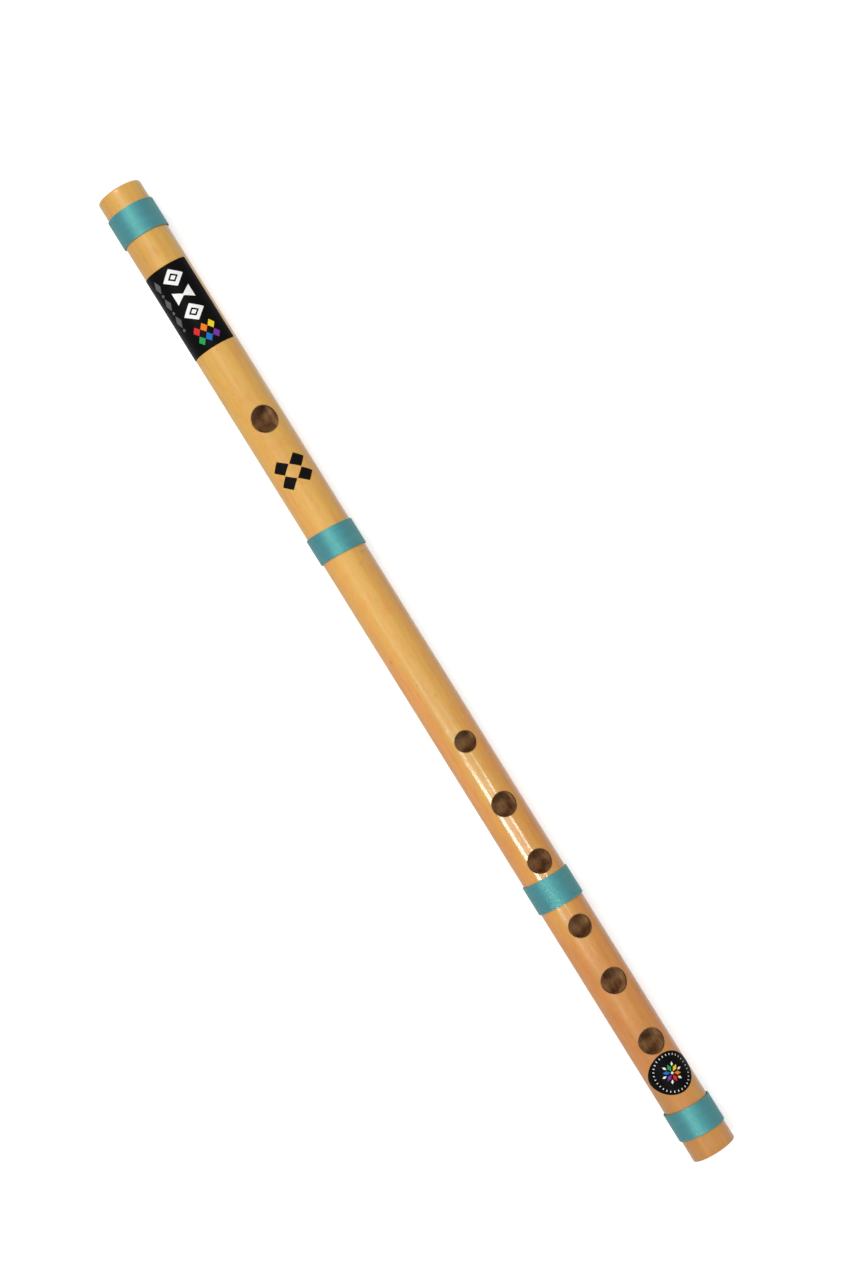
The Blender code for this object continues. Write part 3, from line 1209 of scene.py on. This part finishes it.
@dataclass(frozen=True)
class BambooTube:
    """The length of bamboo, with its rounded head rim, its bore and the seven holes."""

    shape: BambooShape
    holes: tuple[Hole, ...]
    plug: HolePlug = HolePlug()
    sides: int = 160
    head_rounding: float = 0.9 * MM
    foot_rounding: float = 0.2 * MM
    bore_chamfer: float = 0.25 * MM
    skin_step: float = 2.5 * MM
    bore_step: float = 5.0 * MM
    bore_roughness: float = 0.09 * MM
    bore_dents: float = 6.0 * MM
    bore_dents_round: float = 3.0
    waves_start: float = 3.0 * MM
    end_facing: float = 0.92
    end_margin: float = 3.5 * MM
    on_skin: float = 0.012 * MM

    def outline(self) -> Outline:
        """Closed outline of the wall.

        Returns:
            Its points, as (x, radius).
        """
        shape = self.shape
        points = []
        for cosine, sine in quarter(8):
            distance = self.head_rounding * (1 - cosine)
            points.append((distance, shape.radius(distance) - self.head_rounding * (1 - sine)))
        foot = shape.length - self.foot_rounding
        stations = math.ceil((foot - self.head_rounding) / self.skin_step)
        for step in range(1, stations + 1):
            distance = self.head_rounding + (foot - self.head_rounding) * step / stations
            points.append((distance, shape.radius(distance)))
        for cosine, sine in quarter(4)[1:]:
            distance = foot + self.foot_rounding * sine
            points.append((distance, shape.radius(distance) - self.foot_rounding * (1 - cosine)))
        points.append((shape.length, shape.bore(shape.length) + self.bore_chamfer))
        inner = shape.length - self.bore_chamfer
        stations = math.ceil((inner - self.bore_chamfer) / self.bore_step)
        for step in range(stations + 1):
            distance = inner + (self.bore_chamfer - inner) * step / stations
            points.append((distance, shape.bore(distance)))
        points.append((0.0, shape.bore(0.0) + self.bore_chamfer))
        return [(shape.x(distance), radius) for distance, radius in points]

    def build(self, effects: Effects) -> Piece:
        """Models and dresses the tube.

        Args:
            effects: The shared node groups.

        Returns:
            The finished tube.
        """
        skin = LacqueredBamboo().make(effects, self.shape, self.holes)
        burnt = BurntWall().make(effects)
        tube = Bench.turned("flute_tube", self.outline(), self.shape.axis_height, self.sides)
        bore = RawBore().make(effects, self.shape, self.holes)
        for material in (skin, CutBamboo().make(effects), bore):
            tube.data.materials.append(material)
        Bench.reshape(tube, self._roughen)
        self._dress(tube)
        plugs = []
        for number, hole in enumerate(self.holes):
            plugs.append(self.plug.make(f"plug_{number}", hole, self.shape, skin, burnt))
        cutter = Bench.join(plugs, "plugs")
        way = {"operation": "DIFFERENCE", "solver": "EXACT", "material_mode": "TRANSFER"}
        Bench.finish(tube, "BOOLEAN", object=cutter, **way)
        bpy.data.objects.remove(cutter, do_unlink=True)
        Bench.smooth(tube, 25)
        self._lay_normals(tube)
        Bench.hand_over(tube, Slot.BAMBOO, "bamboo_tube")
        return tube

    def _roughen(self, corner: Vector) -> Vector:
        """Gives the skin its small waves and the bore its uneven surface.

        Args:
            corner: A corner of the smooth tube.

        Returns:
            Its new place.
        """
        distance, turn, radius = self.shape.where(corner)
        plain = self.shape.radius(distance)
        if radius > plain - self.shape.wall / 2:
            from_end = min(distance, self.shape.length - distance)
            inside = min(from_end / self.waves_start, 1.0)
            radius += (self.shape.skin(distance, turn) - plain) * inside
            return self.shape.point(distance, turn, radius)
        sweep = self.bore_dents_round
        around = Vector((distance / self.bore_dents, math.sin(turn) * sweep, math.cos(turn) * sweep))
        return self.shape.point(distance, turn, radius + self.bore_roughness * noise.noise(around))

    def _dress(self, tube: Piece) -> None:
        """Gives the skin, the sawn ends and the bore their materials, by where each face lies.

        Args:
            tube: The tube.
        """
        for face in tube.data.polygons:
            distance, _, radius = self.shape.where(face.center)
            if abs(face.normal.x) > self.end_facing:
                face.material_index = 1
            elif radius < self.shape.radius(distance) - self.shape.wall * 0.75:
                face.material_index = 2

    def _lay_normals(self, tube: Piece) -> None:
        """Lets the skin shade as the smooth form that it follows, also beside the holes' rims.

        Args:
            tube: The tube, with its holes cut.
        """
        mesh = tube.data
        normals = [Vector(corner.vector) for corner in mesh.corner_normals]
        known: dict[int, Vector] = {}
        for face in mesh.polygons:
            distance, turn, radius = self.shape.where(face.center)
            inside = self.end_margin < distance < self.shape.length - self.end_margin
            if not inside or face.material_index != 0:
                continue
            if abs(radius - self.shape.skin(distance, turn)) > self.on_skin:
                continue
            for loop in face.loop_indices:
                index = mesh.loops[loop].vertex_index
                if index not in known:
                    place = self.shape.where(mesh.vertices[index].co)
                    known[index] = self.shape.normal(place[0], place[1])
                normals[loop] = known[index]
        mesh.normals_split_custom_set(normals)


@dataclass(frozen=True)
class CorkStopper:
    """The cork that stops the bore, pressed in one bore diameter above the blowing hole."""

    shape: BambooShape
    blowing_hole: Hole
    length: float = 15.0 * MM
    ease: float = 0.6 * MM
    clearance: float = 0.1 * MM
    dent: float = 0.08 * MM
    dent_size: float = 1.6 * MM
    face_rings: tuple[float, ...] = (0.25, 0.5, 0.75)
    side_rings: tuple[float, ...] = (0.2, 0.35, 0.5, 0.65, 0.8)
    sides: int = 96

    def outline(self) -> Outline:
        """Outline of the cork, from the axis to the axis.

        Returns:
            Its points, as (x, radius).
        """
        face = self.blowing_hole.distance - 2 * self.shape.bore(self.blowing_hole.distance)
        radius = self.shape.bore(face) - self.clearance
        near, far = self.shape.x(face - self.length), self.shape.x(face)
        ease = self.ease
        outline = [(near, radius * share) for share in (0.0, *self.face_rings)]
        outline += [(near + ease * (1 - cosine), radius - ease * (1 - sine)) for cosine, sine in quarter(4)]
        outline += [(near + self.length * share, radius) for share in self.side_rings]
        outline += [(far - ease * (1 - sine), radius - ease * (1 - cosine)) for cosine, sine in quarter(4)]
        outline += [(far, radius * share) for share in (*reversed(self.face_rings), 0.0)]
        return outline

    def build(self, effects: Effects) -> Piece:
        """Models and dresses the cork.

        Args:
            effects: The shared node groups.

        Returns:
            The finished cork.
        """
        cork = Bench.turned("cork_plug", self.outline(), self.shape.axis_height, self.sides)
        Bench.reshape(cork, self._pit)
        cork.data.materials.append(NaturalCork().make(effects))
        Bench.smooth(cork, 40)
        Bench.hand_over(cork, Slot.CORK, "stopper_cork")
        return cork

    def _pit(self, corner: Vector) -> Vector:
        """Presses small dents into the cork, which keep it clear of the bore.

        Args:
            corner: A corner of the smooth cork.

        Returns:
            Its new place.
        """
        distance, turn, away = self.shape.where(corner)
        dent = self.dent * abs(noise.noise(corner / self.dent_size))
        return self.shape.point(distance, turn, max(away - dent, 0.0))


@dataclass(frozen=True)
class ThreadBinding:
    """One binding: a thread wound side by side over the layer under it."""

    name: str
    shape: BambooShape
    distance: float
    width: float
    lean: float
    height: float = 0.52 * MM
    thread: float = 0.38 * MM
    overlap: float = 0.12 * MM
    steps: int = 72
    thread_sides: int = 8
    tuck: float = 0.2
    tuck_down: float = 0.75
    tuck_along: float = 0.7
    uneven_height: float = 0.02 * MM
    uneven_place: float = 0.03 * MM
    core_above: float = 0.045 * MM
    core_below: float = 0.62
    core_within: float = 0.55
    core_ease: float = 0.06 * MM

    @property
    def turns(self) -> int:
        """Number of turns that lie side by side in the width."""
        return round((self.width - self.thread) / (self.thread - self.overlap))

    @property
    def bamboo(self) -> float:
        """Largest radius of the bamboo under the binding."""
        ends = (self.distance - self.width / 2, self.distance + self.width / 2)
        return max(self.shape.radius(end) for end in ends)

    def build(self, thread: Material) -> Piece:
        """Winds the binding.

        Args:
            thread: The thread's material.

        Returns:
            The finished binding.
        """
        winding = self._wind()
        core = self._core()
        binding = Bench.join([winding, core], "wound_" + self.name)
        Bench.reshape(binding, self._lean)
        binding.data.materials.clear()
        binding.data.materials.append(thread)
        Bench.smooth(binding, 60)
        Bench.hand_over(binding, Slot.THREAD, self.name)
        return binding

    def _wind(self) -> Piece:
        """Winds one closed thread as a helix, from underneath, with both of its ends tucked in.

        Returns:
            The wound thread.
        """
        radius = self.bamboo + self.height - self.thread / 2
        pitch = (self.width - self.thread) / (self.turns - 1)
        bpy.ops.mesh.primitive_circle_add(
            vertices=self.thread_sides,
            radius=self.thread / 2,
            location=(0, 0, 0),
            rotation=(math.pi / 2, 0, 0),
        )
        winding = Bench.newest("winding")
        with Bench.edit(winding):
            bpy.ops.transform.translate(value=(0, 0, -radius))
        Bench.finish(
            winding,
            "SCREW",
            axis="X",
            angle=-math.tau,
            screw_offset=pitch,
            iterations=self.turns,
            steps=self.steps,
            render_steps=self.steps,
            use_merge_vertices=False,
        )
        start = self.shape.x(self.distance) - pitch * self.turns / 2
        for vertex in winding.data.vertices:
            turn = vertex.index // self.thread_sides / self.steps
            vertex.co = self._wound(vertex.co, turn, start)
        self._map_thread(winding, math.tau * radius / self.steps / MM)
        self._cap(winding)
        return winding

    def _wound(self, corner: Vector, turn: float, start: float) -> Vector:
        """Puts a corner of the even helix where the hand has laid it.

        Args:
            corner: The corner, on a helix about X that starts at x = 0.
            turn: Number of turns from the start of the thread.
            start: X of the start of the thread.

        Returns:
            Its place on the flute.
        """
        around = math.atan2(corner.y, corner.z)
        away = math.hypot(corner.y, corner.z)
        inward = max(0.0, 1 - min(turn, self.turns - turn) / self.tuck)
        away -= self.thread * self.tuck_down * inward * inward
        shift = self.thread * self.tuck_along * inward * inward * (1 if turn < self.turns / 2 else -1)
        wander = Vector((turn * 1.7 + self.distance * 1000, around, 0.0))
        away += self.uneven_height * noise.noise(wander)
        shift += self.uneven_place * noise.noise(wander + Vector((9.0, 3.0, 5.0)))
        height = self.shape.axis_height + away * math.cos(around)
        return Vector((start + corner.x + shift, away * math.sin(around), height))

    def _map_thread(self, winding: Piece, length: float) -> None:
        """Lays the thread's own UV map: millimetres along it, and its share of the way round it.

        Args:
            winding: The wound thread.
            length: Length of one step in millimetres.
        """
        mesh = winding.data
        route = mesh.uv_layers.new(name="thread")
        for face in mesh.polygons:
            rows = [mesh.loops[loop].vertex_index % self.thread_sides for loop in face.loop_indices]
            wraps = max(rows) - min(rows) > 1
            for loop, row in zip(face.loop_indices, rows):
                step = mesh.loops[loop].vertex_index // self.thread_sides
                around = row + (self.thread_sides if wraps and row == 0 else 0)
                route.data[loop].uv = (step * length, around / self.thread_sides)

    def _cap(self, winding: Piece) -> None:
        """Closes both ends of the thread and turns its faces out.

        Args:
            winding: The wound thread.
        """
        with Bench.edit(winding):
            bpy.ops.mesh.select_all(action="DESELECT")
            bpy.ops.mesh.select_non_manifold(extend=False)
            bpy.ops.mesh.fill_holes(sides=self.thread_sides)
            bpy.ops.mesh.select_all(action="SELECT")
            bpy.ops.mesh.normals_make_consistent(inside=False)

    def _core(self) -> Piece:
        """Models the layer under the thread.

        Returns:
            The layer, as a closed ring with eased edges.
        """
        low = self.bamboo + self.core_above
        high = self.bamboo + self.height - self.thread * self.core_below
        half = self.width / 2 - self.thread * self.core_within
        middle = self.shape.x(self.distance)
        ease = self.core_ease
        outline = [
            (middle - half, low),
            (middle - half, high - ease),
            (middle - half + ease, high),
            (middle, high),
            (middle + half - ease, high),
            (middle + half, high - ease),
            (middle + half, low),
            (middle, low),
        ]
        core = Bench.turned("core", outline, self.shape.axis_height, self.steps)
        core.data.uv_layers.new(name="thread")
        return core

    def _lean(self, corner: Vector) -> Vector:
        """Leans the binding as the hand that wound it did: +Y runs ahead of the middle."""
        return Vector((corner.x + self.lean * corner.y, corner.y, corner.z))


@dataclass(frozen=True)
class Print:
    """One plain printed shape, placed on its sheet in millimetres."""

    motif: Motif
    ink: Ink
    at: tuple[float, float]
    size: tuple[float, float]
    turn: float = 0.0
    line: float = 0.0

    def draw(self, inks: InkShelf) -> Piece:
        """Draws the shape flat on its sheet.

        Args:
            inks: The shelf that the ink is taken from.

        Returns:
            The flat shape, with only its outline's width left where it has a line.
        """
        corners, first, circle = self.motif.value
        bpy.ops.mesh.primitive_circle_add(
            vertices=corners, radius=circle / 2, fill_type="NGON", rotation=(0, 0, math.radians(first))
        )
        shape = Bench.newest("print")
        turned = Matrix.Rotation(math.radians(self.turn), 3, "Z")
        with Bench.edit(shape):
            size = (self.size[0] * MM, self.size[1] * MM, 1)
            bpy.ops.transform.resize(value=size, center_override=(0, 0, 0))
            if self.line:
                bpy.ops.mesh.select_mode(type="FACE")
                bpy.ops.mesh.inset(thickness=self.line * MM)
                bpy.ops.mesh.delete(type="FACE")
        move = Vector((self.at[0] * MM, self.at[1] * MM, 0))
        Bench.reshape(shape, lambda corner: turned @ corner + move)
        shape.data.materials.append(inks.get(self.ink))
        return shape


class Design:
    """Generic designs of plain shapes for the labels and the mark, in millimetres."""

    RAINBOW = (Ink.RED, Ink.ORANGE, Ink.YELLOW, Ink.GREEN, Ink.BLUE, Ink.VIOLET)
    COLUMNS = (-10.2, -4.0, 2.2)
    ROW = 1.8
    LOW_ROW = -4.4
    DASHES = 30
    RING = 5.8

    @staticmethod
    def long_label() -> list[Print]:
        """A row of white lozenges and triangles, grey ones beside it, and a block of colours.

        Returns:
            The shapes, in the order in which they are drawn.
        """
        prints = []
        row, low = Design.ROW, Design.LOW_ROW
        for number, x in enumerate(Design.COLUMNS):
            if number % 2 == 0:
                prints.append(Print(Motif.LOZENGE, Ink.WHITE, (x, row), (6.0, 7.2), line=1.15))
                prints.append(Print(Motif.LOZENGE, Ink.WHITE, (x, row), (1.6, 2.0)))
            else:
                for way, turn in ((-1.9, 0.0), (1.9, 180.0)):
                    prints.append(Print(Motif.TRIANGLE, Ink.WHITE, (x, row + way), (5.0, 4.6), turn=turn))
            prints.append(Print(Motif.LOZENGE, Ink.GREY, (x, low), (4.4, 2.4)))
            prints.append(Print(Motif.DOT, Ink.GREY, (x + 3.1, low), (1.1, 1.1)))
        for number, ink in enumerate(Design.RAINBOW):
            column, line = divmod(number, 3)
            place = (8.0 + 3.3 * column, row + 2.6 * (line - 1))
            prints.append(Print(Motif.LOZENGE, ink, place, (3.1, 2.5)))
        return prints

    @staticmethod
    def around(reach: float, turn: float) -> tuple[float, float]:
        """The place at this distance from the middle and this turn in degrees."""
        return reach * math.cos(math.radians(turn)), reach * math.sin(math.radians(turn))

    @staticmethod
    def round_label() -> list[Print]:
        """A ring of short dashes round a rosette of coloured petals.

        Returns:
            The shapes, in the order in which they are drawn.
        """
        prints = []
        for number in range(Design.DASHES):
            turn = 360.0 * number / Design.DASHES
            place = Design.around(Design.RING, turn)
            prints.append(Print(Motif.BLOCK, Ink.WHITE, place, (0.55, 0.26), turn=turn))
        for number, ink in enumerate(Design.RAINBOW):
            turn = 360.0 * number / len(Design.RAINBOW)
            prints.append(Print(Motif.LOZENGE, ink, Design.around(1.75, turn), (2.4, 1.25), turn=turn))
            turn += 180.0 / len(Design.RAINBOW)
            prints.append(Print(Motif.LOZENGE, Ink.WHITE, Design.around(2.75, turn), (1.5, 0.8), turn=turn))
        prints.append(Print(Motif.DOT, Ink.WHITE, (0.0, 0.0), (0.8, 0.8)))
        return prints

    @staticmethod
    def mark() -> list[Print]:
        """Four black lozenges."""
        places = [(x, y) for x in (-2.6, 2.6) for y in (-3.0, 3.0)]
        return [Print(Motif.LOZENGE, Ink.BLACK, place, (5.0, 5.8)) for place in places]


@dataclass(frozen=True)
class WrappedSheet:
    """Something thin that is wrapped round the bamboo: a film with its print, or print alone."""

    name: str
    shape: BambooShape
    distance: float
    turn: float
    reach: tuple[float, float]
    prints: tuple[Print, ...]
    film: float = 0.1 * MM
    glue: float = 0.02 * MM
    ink: float = 0.015 * MM
    strip: float = 0.5 * MM
    length_step: float = 1.25 * MM

    def build(self, film: Piece | None, inks: InkShelf, node: str | None) -> Piece:
        """Prints the sheet, bends it round the bamboo and hands it over.

        Args:
            film: The flat film, or None where the print lies on the bamboo itself.
            inks: The shelf that the inks are taken from.
            node: The solid that it replaces, or None.

        Returns:
            The finished sheet.
        """
        base = self.glue
        parts = []
        if film:
            self._lay(film, self.film, base)
            parts.append(film)
            base += self.film
        drawn = Bench.join([item.draw(inks) for item in self.prints], "prints")
        self._lay(drawn, self.ink, base)
        parts.append(drawn)
        sheet = Bench.join(parts, self.name)
        Bench.reshape(sheet, self._wrap)
        Bench.smooth(sheet, 35)
        Bench.hand_over(sheet, Slot.LABEL, node)
        return sheet

    def _lay(self, layer: Piece, thickness: float, base: float) -> None:
        """Cuts a flat layer into strips both ways, thickens it and lifts it to its place.

        Args:
            layer: The flat film or the flat prints.
            thickness: Its thickness.
            base: Height of its underside over the bamboo.
        """
        Bench.slice(layer, self.reach[1], self.strip, Vector((0, 1, 0)))
        Bench.slice(layer, self.reach[0], self.length_step, Vector((1, 0, 0)))
        Bench.finish(layer, "SOLIDIFY", thickness=thickness, offset=1.0)
        Bench.reshape(layer, lambda corner: corner + Vector((0, 0, base)))

    def _wrap(self, corner: Vector) -> Vector:
        """Bends a corner of the flat sheet round the bamboo.

        Args:
            corner: The corner.

        Returns:
            Its place on the bamboo.
        """
        distance = self.distance + corner.x
        turn = self.turn - corner.y / self.shape.radius(self.distance)
        return self.shape.point(distance, turn, self.shape.skin(distance, turn) + corner.z)


class Films:
    """Cuts the two flat films to their outlines."""

    @staticmethod
    def oblong(length: float, width: float, corner: float) -> Piece:
        """Cuts an oblong film with round corners.

        Args:
            length: Its length along the bamboo.
            width: Its width round the bamboo.
            corner: Radius of its corners.

        Returns:
            The flat film.
        """
        bpy.ops.mesh.primitive_plane_add(size=1.0, location=(0, 0, 0))
        film = Bench.newest("film")
        with Bench.edit(film):
            bpy.ops.transform.resize(value=(length, width, 1))
            bpy.ops.mesh.bevel(offset=corner, segments=6, affect="VERTICES")
        return film

    @staticmethod
    def disc(diameter: float, bamboo: float) -> Piece:
        """Cuts a film that looks round from straight above once it is wrapped.

        Args:
            diameter: Its diameter, seen from above.
            bamboo: Radius of the bamboo under it.

        Returns:
            The flat film.
        """
        bpy.ops.mesh.primitive_circle_add(vertices=96, radius=diameter / 2, fill_type="NGON")
        film = Bench.newest("film")
        Bench.reshape(film, lambda corner: Vector((corner.x, bamboo * math.asin(corner.y / bamboo), 0)))
        return film


@dataclass(frozen=True)
class Lamp:
    """A white oblong lamp: its place, its length and width, and its power in watts."""

    name: str
    at: tuple[float, float, float]
    size: tuple[float, float]
    power: float

    def hang(self) -> None:
        """Hangs the lamp, with its length across its beam along X, to shine at the flute's middle."""
        bpy.ops.object.light_add(type="AREA", location=self.at)
        lamp = bpy.context.active_object
        lamp.name = self.name
        lamp.data.shape = "RECTANGLE"
        lamp.data.size, lamp.data.size_y = self.size
        lamp.data.energy = self.power
        back = Vector(self.at).normalized()
        along = (Vector((1, 0, 0)) - back * back.x).normalized()
        lamp.matrix_world = stand(self.at, along, back.cross(along), back)


class Studio:
    """The camera, the floor, the world and the lamps."""

    CAMERA_AT = Vector((0.00603775, -0.15174863, 0.76541511))
    CAMERA_RIGHT = Vector((0.52837281, 0.83247821, 0.16677164))
    CAMERA_UP = Vector((-0.84887698, 0.51440376, 0.1216849))
    CAMERA_BACK = Vector((0.01551207, -0.2058614, 0.97845821))
    LENS = 69.73
    SENSOR = 36.0
    FLOOR_SIZE = 6.0
    FLOOR_COLOUR = (0.8, 0.8, 0.8, 1)
    WHITE = (1, 1, 1, 1)
    GLOW_SPAN = (0.2, 0.8)
    GLOW_SEEN = (0.56, 0.8)
    GLOW_MIRRORED = 0.25
    KEY = Lamp("key", (-0.76, -0.50, 1.2), (0.26, 0.5), 9.0)
    MIRRORED_LAMPS = (
        Lamp("glow", (0.155, -0.47, 1.26), (0.11, 0.90), 1.5),
        Lamp("strip_left", (0.155, -0.851, 1.089), (0.12, 0.38), 3.6),
        Lamp("strip_right", (0.155, 0.045, 1.357), (0.12, 0.22), 1.4),
    )

    def camera(self) -> None:
        """Sets up the camera at the photograph's viewing angle."""
        bpy.ops.object.camera_add()
        camera = bpy.context.active_object
        camera.name = "camera"
        camera.matrix_world = stand(self.CAMERA_AT, self.CAMERA_RIGHT, self.CAMERA_UP, self.CAMERA_BACK)
        camera.data.lens = self.LENS
        camera.data.sensor_width = self.SENSOR
        camera.data.clip_start = 0.01
        bpy.context.scene.camera = camera

    def floor(self, height: float) -> None:
        """Lays a white floor, which keeps the flute's soft shadow.

        Args:
            height: Height of the flute's lowest point.
        """
        bpy.ops.mesh.primitive_plane_add(size=self.FLOOR_SIZE, location=(0, 0, height))
        floor = Bench.newest("floor")
        material = bpy.data.materials.new("white_floor")
        material.use_nodes = True
        wiring = Wiring(material.node_tree)
        shader = material.node_tree.nodes["Principled BSDF"]
        wiring.feed(shader.inputs["Base Color"], self.FLOOR_COLOUR)
        wiring.feed(shader.inputs["Roughness"], 0.9)
        wiring.feed(shader.inputs["Specular IOR Level"], 0.0)
        path = wiring.add("LightPath").outputs
        mirrored = wiring.compute("MAXIMUM", path["Is Glossy Ray"], path["Is Transmission Ray"])
        away = wiring.length(wiring.add("TexCoord").outputs["Object"])
        bright = wiring.remap(away, self.GLOW_SPAN, self.GLOW_SEEN)
        seen = wiring.compute("MULTIPLY", path["Is Camera Ray"], bright)
        strength = wiring.compute("ADD", seen, wiring.compute("MULTIPLY", mirrored, self.GLOW_MIRRORED))
        glow = wiring.add("Emission", {"Color": self.WHITE, "Strength": strength})
        both = wiring.add("AddShader", {0: shader, 1: glow})
        wiring.feed(material.node_tree.nodes["Material Output"].inputs["Surface"], both)
        floor.data.materials.append(material)
        floor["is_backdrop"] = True

    def world(self, strength: float) -> None:
        """Surrounds the scene with even white light.

        Args:
            strength: The light's strength, other than where it is seen or mirrored.
        """
        world = bpy.data.worlds.new("studio")
        bpy.context.scene.world = world
        world.use_nodes = True
        wiring = Wiring(world.node_tree)
        back = world.node_tree.nodes["Background"]
        path = wiring.add("LightPath").outputs
        wiring.feed(back.inputs["Color"], self.WHITE)
        seen = wiring.compute("MAXIMUM", path["Is Camera Ray"], path["Is Glossy Ray"])
        seen = wiring.compute("MAXIMUM", seen, path["Is Transmission Ray"])
        wiring.feed(back.inputs["Strength"], wiring.remap(seen, (0.0, 1.0), (strength, 1.0)))

    def light(self) -> None:
        """Hangs the key lamp past the head end, and three lamps that the lacquer mirrors."""
        for lamp in (self.KEY, *self.MIRRORED_LAMPS):
            lamp.hang()


class Bansuri:
    """The whole flute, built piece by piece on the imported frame."""

    HOLES = (
        Hole(85.3 * MM, 8.8 * MM, 8.3 * MM),
        Hole(202.8 * MM, 6.8 * MM, 6.8 * MM, painted_shadow=0.5, pale=0.8),
        Hole(225.5 * MM, 7.9 * MM, 7.9 * MM),
        Hole(246.2 * MM, 7.7 * MM, 7.7 * MM, painted_shadow=0.5),
        Hole(269.7 * MM, 7.3 * MM, 7.3 * MM, painted_shadow=0.5, pale=0.4),
        Hole(289.5 * MM, 8.2 * MM, 8.2 * MM),
        Hole(311.4 * MM, 8.2 * MM, 8.2 * MM),
    )
    BINDINGS = {
        "binding_head": (11.8 * MM, 9.9 * MM, 0.0),
        "binding_middle": (128.9 * MM, 9.0 * MM, 0.055),
        "binding_hand": (256.4 * MM, 9.9 * MM, 0.04),
        "binding_foot": (339.2 * MM, 9.6 * MM, 0.06),
    }
    LONG_LABEL = (29.4 * MM, 19.2 * MM, 0.6 * MM)
    LONG_LABEL_AT = (43.3 * MM, math.radians(23))
    ROUND_LABEL = 13.5 * MM
    ROUND_LABEL_AT = (322.9 * MM, 0.0)
    MARK_REACH = (5.3 * MM, 6.1 * MM)
    MARK_AT = (103.7 * MM, math.radians(9))

    def __init__(self) -> None:
        """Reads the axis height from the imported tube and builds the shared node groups."""
        low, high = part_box("bamboo_tube")
        self.shape = BambooShape(axis_height=(low.z + high.z) / 2)
        self.effects = Effects(self.shape.axis_height)
        self.inks = InkShelf(self.effects)

    def build(self) -> None:
        """Builds every piece of the flute."""
        BambooTube(self.shape, self.HOLES).build(self.effects)
        CorkStopper(self.shape, self.HOLES[0]).build(self.effects)
        thread = SatinThread().make(self.effects)
        for name, (distance, width, lean) in self.BINDINGS.items():
            ThreadBinding(name, self.shape, distance, width, lean).build(thread)
        self._labels()

    def _labels(self) -> None:
        """Cuts, prints and wraps both labels, and prints the mark."""
        film = PrintedFilm().make(self.effects)
        length, width, corner = self.LONG_LABEL
        oblong = Films.oblong(length, width, corner)
        oblong.data.materials.append(film)
        reach, prints = (length / 2, width / 2), tuple(Design.long_label())
        label = WrappedSheet("wrapped_label_long", self.shape, *self.LONG_LABEL_AT, reach, prints)
        label.build(oblong, self.inks, "label_long")

        disc = Films.disc(self.ROUND_LABEL, self.shape.radius(self.ROUND_LABEL_AT[0]))
        disc.data.materials.append(film)
        reach, prints = (self.ROUND_LABEL / 2, self.ROUND_LABEL * 0.7), tuple(Design.round_label())
        label = WrappedSheet("wrapped_label_round", self.shape, *self.ROUND_LABEL_AT, reach, prints)
        label.build(disc, self.inks, "label_round")

        placed = ("printed_mark", self.shape, *self.MARK_AT, self.MARK_REACH)
        WrappedSheet(*placed, tuple(Design.mark()), glue=0.005 * MM).build(None, self.inks, None)


def main() -> None:
    """Builds the flute on its frame, then the studio round it."""
    logging.basicConfig(level=logging.INFO, format="%(name)s: %(message)s")
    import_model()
    scene = bpy.context.scene
    scene.view_settings.view_transform = "Standard"
    studio = Studio()
    studio.camera()
    Bansuri().build()
    studio.floor(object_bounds()[0].z)
    studio.world(0.35)
    studio.light()


if __name__ == "__main__":
    main()
